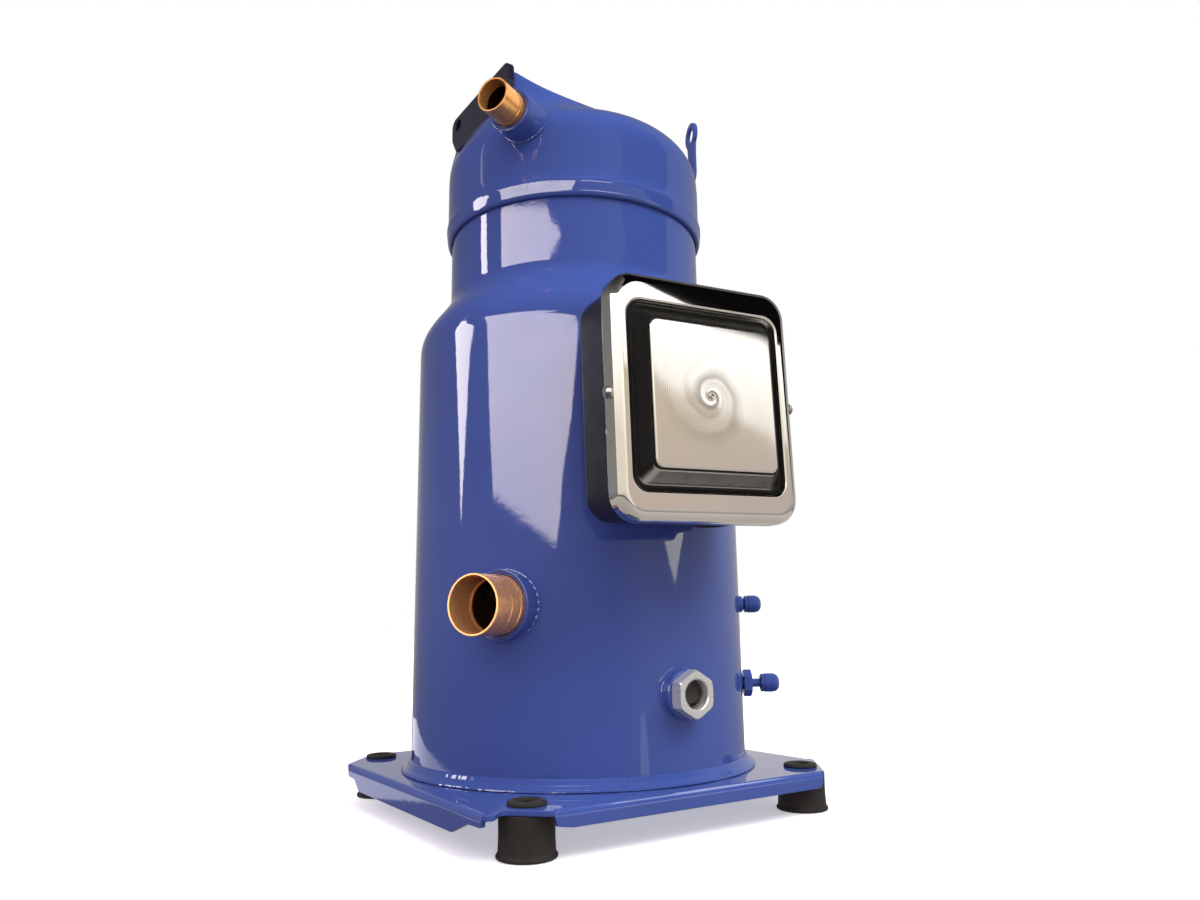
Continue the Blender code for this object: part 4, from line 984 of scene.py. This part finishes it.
def make_ports():
    stem = bend([
        (0.0022, 0.1170), (SERVICE_STEM_R, 0.1170), (SERVICE_STEM_R, 0.1238, 0.0006),
        (0.0050, 0.1252, 0.0004), (0.0040, 0.1256, 0.0002), (0.0040, 0.1340, 0.0004), (0.0022, 0.1340),
    ], True, 4)
    make_port("service", SERVICE_PORT_Z, stem, SERVICE_STEM_R, 0.0009, 11.0, (0.1262, 0.1390, 0.0064, 0.0043))

    stem = bend([
        (0.0022, 0.1170), (LOW_STEM_R, 0.1170), (LOW_STEM_R, 0.1222, 0.0004),
        (0.0046, 0.1228, 0.0002), (0.0046, 0.1292, 0.0002), (0.0031, 0.1302, 0.0003),
        (0.0031, 0.1372, 0.0003), (0.0046, 0.1380, 0.0002),
    ], False, 3)
    stem += [(0.0046 - 0.0003 * (step % 2), 0.1384 + 0.0004 * step) for step in range(13)]
    stem += [(0.0044, 0.1440), (0.0022, 0.1440)]
    make_port("oil", LOW_PORT_Z, stem, LOW_STEM_R, 0.0010, 14.0, (0.1360, 0.1500, 0.0068, 0.0049))
    nut = chamfered_hex(0.0098, 0.1233, 0.1292, 0.0008, [(0.0049, 0.1292), (0.0049, 0.1233)])
    made = mesh_object("oil_port_hex_nut", nut, outward(PORT_AZIMUTH, LOW_PORT_Z), paint, 30)
    add_piece(made, "compressor", "blue_paint", "oil_port_nut")


# ---------------------------------------------------------------- terminal box

def make_box():
    place = cover_place()
    sections = stepped(BOX_HALF, [
        (0.0060, 0.0130, 0.1295), (0.0030, 0.0130, 0.1758), (0.0026, 0.0134, 0.1760),
        (0.0004, 0.0156, 0.1760), (0.0000, 0.0160, 0.1756), (0.0004, 0.0160, 0.1640),
        (0.0010, 0.0160, 0.1500), (0.0012, 0.0160, 0.1352), (0.0018, 0.0156, 0.1325),
        (0.0034, 0.0148, 0.1298), (0.0056, 0.0140, 0.1278), (0.0080, 0.0130, 0.1265),
    ])
    made = mesh_object("terminal_box_moulding", framed(sections), place, box_plastic, 40)
    tools = [drill(0.0270, 64, 0.12, 0.14, place)]
    for side in (-1, 1):
        low_x, high_x = sorted((side * 0.050, side * 0.070))
        tools.append((block((low_x, -0.0026, SCREW_DEPTH - 0.0030), (high_x, 0.0026, 0.19)), place))
    down = Matrix.Rotation(math.pi / 2, 4, "X")
    entry = place @ Matrix.Translation((0.018, -BOX_HALF[1] + 0.010, 0.152)) @ down
    tools.append(drill(0.0125, 48, -0.004, 0.02, entry))
    carve(made, tools, sharp=40)
    add_piece(made, "compressor", "black_plastic", "terminal_box_body")
    outline = bend([
        (0.0, 0.0060), (0.0085, 0.0060), (0.0100, 0.0040, 0.0003), (0.0122, 0.0040, 0.0005),
        (0.0122, 0.0105, 0.0006), (0.0108, 0.0114, 0.0006), (0.0078, 0.0114, 0.0005),
        (0.0070, 0.0075, 0.0004), (0.0, 0.0075),
    ], False, 4)
    grommet = mesh_object("supply_cable_grommet", turned(outline, 48, False), entry, rubber, 40)
    add_piece(grommet, "compressor", "black_rubber", "cable_grommet")


def make_rim(place):
    """Bright rim: a skirt, a rounded edge, a flat face and the way back inside the sheet."""
    face, skirt = COVER_FACE, COVER_SKIRT
    edge_round, corner = 0.0068, 0.0180
    sections = stepped(COVER_HALF, [
        (0, corner, skirt + 0.0002), (0, corner, skirt + 0.0010), (0, corner, face - edge_round),
    ])
    sections += rounded_over(COVER_HALF, corner, face, edge_round, 0.0054, 12)
    sections += stepped(COVER_HALF, [(0.0072, 0.0124, face)])
    sections += stepped(WINDOW_HALF, [
        (-0.0014, 0.0108, face), (-0.0010, 0.0106, face), (-0.0003, 0.0102, face - 0.0003),
        (0, 0.0100, face - 0.0008), (0, 0.0100, face - COVER_SHEET),
    ])
    sections += stepped(COVER_HALF, [
        (0.0075, 0.0125, face - COVER_SHEET), (0.0042, 0.0145, face - 0.0030),
        (COVER_SHEET, 0.0166, face - 0.0072), (COVER_SHEET, 0.0166, skirt), (0.0002, 0.0179, skirt),
    ])
    rim = mesh_object("bright_cover_rim", framed(sections, ring=True), place, bright_cover, 45)
    side_x = COVER_HALF[0]
    dimple = bend([
        (0.0, side_x - 0.0010), (0.0045, side_x - 0.0010, 0.001), (0.0062, side_x + 0.0006),
        (0.0062, side_x + 0.004), (0.0, side_x + 0.004),
    ], False, 4)
    tools = []
    for side in (-1, 1):
        across = cover_place(SCREW_DEPTH) @ Matrix.Rotation(side * math.pi / 2, 4, "Y")
        tools.append((turned(dimple, 48, False), across))
        tools.append(drill(0.0023, 32, 0.055, 0.075, across))
    carve(rim, tools, sharp=45)
    add_piece(rim, "cover", "chromed_steel", "cover_rim")


def make_cover():
    """The rim, the moulded insert in its window, and the bright pad in the middle."""
    place = cover_place()
    make_rim(place)

    window = inset(WINDOW_HALF, GAP)
    top_half = inset(PANEL_HALF, -0.0012)
    top = PANEL_FACE - 0.0018
    sections = stepped(top_half, [(0.0030, 0.0050, top - 0.0025)])
    sections += stepped(window, [
        (0.0040, 0.0070, 0.1765), (0.0040, 0.0070, 0.1710), (0.0000, 0.0097, 0.1710),
        (0.0000, 0.0097, COVER_FACE - 0.0012), (0.0002, 0.0096, COVER_FACE - 0.0010),
        (0.0007, 0.0092, COVER_FACE - 0.0012), (0.0014, 0.0086, 0.1786), (0.0019, 0.0082, 0.1782),
        (0.0032, 0.0072, 0.1782), (0.0042, 0.0068, 0.1787),
    ])
    sections += stepped(top_half, [
        (-0.0008, 0.0062, top - 0.0008), (-0.0002, 0.0060, top - 0.0002), (0.0006, 0.0056, top),
    ])
    insert = mesh_object("moulded_cover_insert", framed(sections), place, insert_plastic, 40)
    add_piece(insert, "cover", "black_plastic", "cover_recess_frame")

    low, edge_round, corner = PANEL_FACE - 0.0015, 0.0011, 0.0052
    sections = stepped(PANEL_HALF, [
        (0.0003, 0.0050, low), (0, corner, low + 0.0003), (0, corner, PANEL_FACE - edge_round),
    ])
    sections += rounded_over(PANEL_HALF, corner, PANEL_FACE, edge_round, 0.0009, 6)
    sections += stepped(PANEL_HALF, [(0.0060, 0.0030, PANEL_FACE)])
    pad = mesh_object("bright_centre_pad", framed(sections), place, bright_pad, 45)
    add_piece(pad, "cover", "chromed_steel", "cover_panel")


def make_screws():
    head = COVER_HALF[0] + GAP
    outline = bend([
        (0.0, head + 0.0036), (0.0018, head + 0.0033, 0.0008), (0.0032, head + 0.0020, 0.0010),
        (0.0038, head + 0.0006, 0.0005), (0.0038, head, 0.0002), (0.0019, head - 0.0001, 0.0002),
        (0.0019, 0.0570, 0.0004), (0.0012, 0.0560, 0.0002), (0.0, 0.0560),
    ], False, 4)
    for side, name in ((-1, "left"), (1, "right")):
        place = cover_place(SCREW_DEPTH) @ Matrix.Rotation(side * math.pi / 2, 4, "Y")
        screw = mesh_object(f"domed_cover_screw_{name}", turned(outline, 48, False), place, screw_zinc, 40)
        slot = block((-0.0005, -0.0050, head + 0.0022), (0.0005, 0.0050, head + 0.0060))
        carve(screw, [(slot, place)], sharp=40)
        add_piece(screw, f"screw_{name}", "zinc_plate", f"cover_screw_{name}")


# ---------------------------------------------------------------- pieces kept from the CAD

KEPT = {
    "bottom_cap": iron, "terminal_seat": steel, "hermetic_terminal": steel, "terminal_block": block_plastic,
    "power_pin_1": copper, "power_pin_2": copper, "power_pin_3": copper, "earth_screw": screw_zinc,
    "service_port_core": steel, "oil_port_core": steel,
    "motor_housing": steel, "stator_core": laminations, "lower_winding": winding, "upper_winding": winding,
    "lower_bearing_bracket": iron, "lower_bearing": bronze, "main_frame": iron, "main_bearing": bronze,
    "crankshaft": steel, "rotor": laminations, "upper_counterweight": iron, "lower_counterweight": iron,
    "oil_pickup": steel, "drive_bush": bronze, "orbiting_scroll": aluminium, "oldham_ring": aluminium,
    "fixed_scroll": iron, "check_valve_disc": steel, "check_valve_guard": steel, "separator_plate": steel,
}


def finish_kept_nodes():
    for name, material in KEPT.items():
        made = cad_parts[name]
        made.data.materials.clear()
        made.data.materials.append(material)


# ---------------------------------------------------------------- camera, light and floor

def make_camera():
    eye = Vector((-0.36276, -0.55215, 0.12623))
    yaw, pitch, roll = math.radians(56.282), math.radians(10.536), -0.0143
    ahead = Vector((math.cos(pitch) * math.cos(yaw), math.cos(pitch) * math.sin(yaw), math.sin(pitch)))
    right = Vector((math.sin(yaw), -math.cos(yaw), 0))
    up = right.cross(ahead)
    level_right = math.cos(roll) * right + math.sin(roll) * up
    level_up = math.cos(roll) * up - math.sin(roll) * right
    data = bpy.data.cameras.new("camera")
    data.sensor_width = 36.0
    data.lens = 26.47
    data.shift_y = 0.00987
    data.clip_start = 0.02
    data.clip_end = 60.0
    made = bpy.data.objects.new("camera", data)
    turn = Matrix((level_right, level_up, -ahead)).transposed()
    made.matrix_world = Matrix.Translation(eye) @ turn.to_4x4()
    bpy.context.scene.collection.objects.link(made)
    bpy.context.scene.camera = made


MIDDLE = Vector((0.0, AXIS_Y, 0.25))
CARD_DISTANCE = 3.0


def glow():
    """Light of a card: its corner colours, with nothing behind it hidden."""
    material = bpy.data.materials.new("soft_box_glow")
    material.use_nodes = True
    material.node_tree.nodes.clear()
    nodes = Nodes(material.node_tree)
    tint = nodes.node("ShaderNodeAttribute", attribute_name="radiance")
    shine = nodes.node("ShaderNodeEmission")
    clear = nodes.node("ShaderNodeBsdfTransparent")
    both = nodes.node("ShaderNodeAddShader")
    nodes.link(tint.outputs["Color"], shine.inputs["Color"])
    nodes.link(shine.outputs["Emission"], both.inputs[0])
    nodes.link(clear.outputs["BSDF"], both.inputs[1])
    nodes.link(both.outputs["Shader"], nodes.node("ShaderNodeOutputMaterial").inputs["Surface"])
    return material


def black_flag_finish():
    made = Finish("black_flag_cloth", roughness=1.0)
    made.shader.inputs["Specular IOR Level"].default_value = 0.0
    made.colour(made.ramp(made.noise(4.0), [(0.3, 0.004), (0.7, 0.006)]))
    return made.material


def way_to(azimuth, elevation):
    a, e = math.radians(azimuth), math.radians(elevation)
    return Vector((math.cos(a) * math.cos(e), math.sin(a) * math.cos(e), math.sin(e)))


def card(name, rows, material, seen_by=None, columns=10):
    """Reflection card on a sphere round the machine; each row is its left and right end as
    (azimuth, elevation) with the radiance there."""
    bm = bmesh.new()
    layer = bm.verts.layers.float_color.new("radiance")
    grid = []
    for left, right, left_light, right_light in rows:
        line = []
        for step in range(columns + 1):
            share = step / columns
            azimuth, elevation = (a + (b - a) * share for a, b in zip(left, right))
            vert = bm.verts.new(MIDDLE + way_to(azimuth, elevation) * CARD_DISTANCE)
            vert[layer] = (*(a + (b - a) * share for a, b in zip(left_light, right_light)), 1.0)
            line.append(vert)
        grid.append(line)
    for lower, upper in zip(grid, grid[1:]):
        for step in range(columns):
            bm.faces.new([lower[step], lower[step + 1], upper[step + 1], upper[step]])
    mesh = bpy.data.meshes.new(name)
    bm.to_mesh(mesh)
    bm.free()
    mesh.materials.append(material)
    made = bpy.data.objects.new(name, mesh)
    bpy.context.scene.collection.objects.link(made)
    made.visible_camera = False
    made.visible_diffuse = False
    made.visible_shadow = False
    if seen_by:
        receive_only(made, seen_by)


def receive_only(source, pieces):
    """Let a card or lamp light these pieces and nothing else."""
    group = bpy.data.collections.new(source.name + "_receivers")
    for piece in pieces:
        group.objects.link(bpy.data.objects[piece])
    source.light_linking.receiver_collection = group


def area_light(name, azimuth, elevation, distance, size, power, colour=(1, 1, 1)):
    """Soft light for the diffuse shading only."""
    way = way_to(azimuth, elevation)
    data = bpy.data.lights.new(name, "AREA")
    data.shape = "RECTANGLE"
    data.size, data.size_y = size
    data.energy = power
    data.color = colour
    made = bpy.data.objects.new(name, data)
    made.location = MIDDLE + way * distance
    made.rotation_euler = (-way).to_track_quat("-Z", "Y").to_euler()
    bpy.context.scene.collection.objects.link(made)
    made.visible_glossy = False
    made.visible_camera = False
    return made


def make_world():
    """White to the camera, a soft light that grows with height to matt surfaces, and to reflections
    a grey gradient that is darker on the -X side."""
    world = bpy.data.worlds.new("studio")
    world.use_nodes = True
    bpy.context.scene.world = world
    world.node_tree.nodes.clear()
    nodes = Nodes(world.node_tree)

    def background(colour, strength):
        made = nodes.node("ShaderNodeBackground")
        nodes.feed(colour, made.inputs["Color"])
        nodes.feed(strength, made.inputs["Strength"])
        return made.outputs["Background"]

    def choose(share, first, second):
        made = nodes.node("ShaderNodeMixShader")
        nodes.link(share, made.inputs["Fac"])
        nodes.link(first, made.inputs[1])
        nodes.link(second, made.inputs[2])
        return made.outputs["Shader"]

    x, _, z = nodes.split(nodes.node("ShaderNodeTexCoord").outputs["Generated"])
    greys = [(0.0, 0.12), (0.44, 0.30), (0.50, 0.42), (0.56, 0.48), (0.66, 0.38), (0.80, 0.20), (1.0, 0.05)]
    stops = [(position, (grey * 1.02, grey, grey * 0.97)) for position, grey in greys]
    gradient = nodes.ramp(nodes.rescale(z, 0.0, 1.0, -1.0, 1.0), stops)
    mirror = background(gradient, nodes.rescale(x, 0.55, 1.0, -0.15, 0.25))
    soft = background((1.0, 0.86, 1.0, 1.0), nodes.rescale(z, 0.42, 1.15, -0.6, 0.8))
    white = background((1, 1, 1, 1), 1.0)
    path = nodes.node("ShaderNodeLightPath").outputs
    unseen = choose(path["Is Glossy Ray"], soft, mirror)
    out = nodes.node("ShaderNodeOutputWorld")
    nodes.link(choose(path["Is Camera Ray"], unseen, white), out.inputs["Surface"])


def make_floor():
    """Round pale floor with a faint mottling; it is left out of reflections, which see the studio."""
    bm = bmesh.new()
    bmesh.ops.create_circle(bm, cap_ends=True, segments=128, radius=12.0)
    mesh = bpy.data.meshes.new("floor")
    bm.to_mesh(mesh)
    bm.free()
    made = Finish("pale_floor", roughness=0.9)
    made.shader.inputs["Specular IOR Level"].default_value = 0.1
    made.colour(made.ramp(made.noise(3.0, 3.0), [(0.3, (0.93, 0.93, 0.93)), (0.7, (0.95, 0.95, 0.95))]))
    made.shader.inputs["Emission Color"].default_value = (1, 1, 1, 1)
    made.shader.inputs["Emission Strength"].default_value = 0.42
    mesh.materials.append(made.material)
    floor = bpy.data.objects.new("floor", mesh)
    bpy.context.scene.collection.objects.link(floor)
    floor.location = (0, 0, -0.0002)
    floor.visible_glossy = False
    floor.visible_diffuse = False


def plain(rows, light):
    """Card rows in one light, from (left, right) or (left, right, share of the light)."""
    made = []
    for left, right, *share in rows:
        dimmed = [value * (share[0] if share else 1.0) for value in light]
        made.append((left, right, dimmed, dimmed))
    return made


def panel(azimuths, elevations, light):
    """Card rows that fill a band of azimuths between two elevations with one light."""
    left, right = azimuths
    return plain([((left, height), (right, height)) for height in elevations], light)


BASE = ["pressed_base_plate"]
CAP = ["painted_cap"]
UPRIGHT = [   # painted pieces that show the tall soft boxes
    "painted_shell", *CAP, "shell_foot_weld",
    "suction_boss_ring", "discharge_boss_ring", "sight_boss_ring",
    "service_port_stem", "service_port_knurled_cap",
    "oil_port_stem", "oil_port_hex_nut", "oil_port_knurled_cap",
]
PAINTED = UPRIGHT + BASE + ["cap_bracket_plate", "lifting_lug_strap"]
COPPERS = ["suction_copper_stub", "discharge_copper_stub"]
BRIGHT = ["bright_cover_rim", "bright_centre_pad"]
ZINC = ["domed_cover_screw_left", "domed_cover_screw_right", "sight_glass_hex"]

PANELS = [   # name, azimuths, elevations, radiance, pieces that show it, columns
    ("cover_floor_card", (60, 420), (-70, -9), (0.34, 0.31, 0.28), BRIGHT, 48),
    ("screw_card", (196, 300), (10, 66), (2.4, 2.4, 2.3), ZINC, 10),
    ("moulding_card", (236, 330), (-66, -26), (12.0, 10.8, 9.6), ["moulded_cover_insert"], 10),
    ("mouth_card", (150, 236), (-6, 26), (2.6, 2.5, 2.3), COPPERS, 10),
    ("copper_low_card", (240, 400), (-60, -9), (1.0, 0.96, 0.9), COPPERS, 10),
    ("copper_high_card", (240, 400), (12, 70), (0.85, 0.8, 0.72), COPPERS, 10),
    ("fold_softbox", (300, 390), (42, 62), (3.0, 3.0, 3.0), BASE, 20),
    ("plate_top_card", (12, 46), (1, 26), (0.26, 0.22, 0.12), BASE, 10),
    ("collar_softbox", (120, 360), (70, 80), (3.2, 3.2, 3.4), ["shell_foot_weld"], 40),
]


def make_lamps():
    area_light("front_fill", 290, 46, 2.4, (1.6, 1.2), 38.0, (0.90, 1.06, 0.96))
    area_light("left_fill", 200, 30, 2.4, (1.4, 1.0), 7.0, (1.0, 0.88, 0.96))
    area_light("top_fill", 240, 80, 2.6, (2.0, 2.0), 13.0)
    bore_lamp = area_light("bore_fill", 238, 8, 1.6, (0.5, 0.5), 14.0, (1.0, 0.95, 0.85))
    receive_only(bore_lamp, COPPERS)


def make_paint_cards(shine):
    """Soft boxes that draw the pale shapes on the enamel."""
    card("wide_softbox", plain([
        ((180.2, 7.4), (224.2, 3.7), 0.86), ((178.3, 10.8), (226.9, 5.6), 0.88),
        ((178.0, 11.2), (228.4, 8.6), 0.92), ((176.4, 14.5), (234.6, 13.0)), ((175.2, 18.3), (239.0, 18.1)),
        ((174.1, 20.5), (239.9, 20.4)), ((172.0, 24.0), (216.0, 24.0)), ((170.4, 26.0), (223.0, 25.8)),
        ((169.6, 27.0), (226.5, 26.8)), ((169.5, 28.0), (218.0, 27.8)), ((169.8, 29.0), (214.0, 28.8)),
    ], (7.4, 6.6, 6.4)), shine, UPRIGHT)
    card("strip_softbox", plain([
        ((152.9, 5.6), (153.3, 5.6)), ((150.0, 11.6), (155.9, 11.6)), ((145.4, 18.4), (159.5, 18.3)),
        ((143.8, 20.5), (162.8, 20.4)), ((145.6, 25.3), (153.4, 25.3)), ((145.2, 28.9), (152.0, 28.8)),
        ((145.8, 29.8), (148.6, 29.8), 0.14), ((145.8, 37.0), (147.2, 37.0), 0.08),
    ], (9.6, 8.9, 8.6)), shine, UPRIGHT)
    card("low_softbox", plain([
        ((305.6, 0.8), (306.0, 0.8)), ((301.5, 2.4), (309.5, 2.4)),
        ((296.6, 4.6), (314.9, 4.7)), ((296.6, 6.2), (314.9, 6.2)),
    ], (3.2, 3.2, 2.4)), shine, PAINTED)
    card("lip_high_softbox", plain([
        ((243.0, 20.0), (268.0, 20.0)), ((244.0, 24.0), (270.0, 24.0)),
    ], (8.0, 8.0, 8.0)), shine, CAP)
    card("lip_low_softbox", plain([
        ((243.0, 11.5), (280.0, 11.5)), ((243.0, 14.5), (283.0, 14.5)),
    ], (10.0, 10.0, 10.0)), shine, CAP)
    card("foot_softbox", plain([
        ((82.0, -14.0), (166.0, -14.0)), ((82.0, -12.4), (163.0, -12.8)),
        ((82.0, -11.0), (128.0, -11.4)), ((82.0, -8.8), (96.0, -9.0)),
    ], (1.05, 1.05, 1.15)), shine, PAINTED)
    card("foot_streak", plain([
        ((277.0, -13.0), (283.5, -13.0)), ((277.5, -8.6), (281.0, -8.6)),
    ], (0.75, 0.75, 0.75)), shine, PAINTED)


def make_cover_cards(shine):
    """Pale and dark fields that the bright cover mirrors; the flag is its black wedge."""
    card("cover_card", [
        ((286.0, 1.0), (308.0, 1.0), (0.16, 0.07, 0.02), (0.08, 0.03, 0.0)),
        ((286.0, 6.5), (308.0, 6.5), (0.18, 0.08, 0.02), (0.09, 0.03, 0.0)),
        ((286.0, 19.2), (308.0, 7.6), (0.34, 0.24, 0.10), (0.14, 0.08, 0.02)),
        ((286.0, 19.9), (308.0, 8.3), (1.05, 1.02, 0.96), (0.50, 0.46, 0.42)),
        ((286.0, 25.8), (308.0, 15.2), (1.60, 1.60, 1.58), (1.10, 1.08, 1.02)),
    ], shine, BRIGHT, 24)
    card("cover_side_card", [
        ((188.0, -4.0), (286.0, -4.0), (0.50, 0.44, 0.36), (0.50, 0.44, 0.36)),
        ((188.0, 10.0), (286.0, 10.0), (0.70, 0.64, 0.52), (0.66, 0.60, 0.48)),
        ((188.0, 15.0), (286.0, 18.0), (1.30, 1.26, 1.16), (1.20, 1.16, 1.06)),
        ((188.0, 24.0), (286.0, 25.8), (1.60, 1.60, 1.58), (1.70, 1.70, 1.68)),
    ], shine, BRIGHT, 32)
    card("cover_flag", plain([
        ((280.0, 28.7), (330.0, 4.6)), ((280.0, 36.0), (330.0, 30.0)),
        ((276.0, 60.0), (334.0, 60.0)), ((276.0, 80.0), (334.0, 80.0)),
    ], (0, 0, 0)), black_flag_finish(), columns=20)


def make_studio():
    make_world()
    make_floor()
    make_lamps()
    shine = glow()
    make_paint_cards(shine)
    make_cover_cards(shine)
    for name, azimuths, elevations, light, pieces, columns in PANELS:
        card(name, panel(azimuths, elevations, light), shine, pieces, columns)


make_shell()
make_cap()
make_collar()
make_bracket()
make_lug()
make_plate()
make_feet()
make_connections()
make_sight_glass()
make_ports()
make_box()
make_cover()
make_screws()
finish_kept_nodes()
make_camera()
make_studio()
bpy.context.scene.view_settings.view_transform = "Standard"
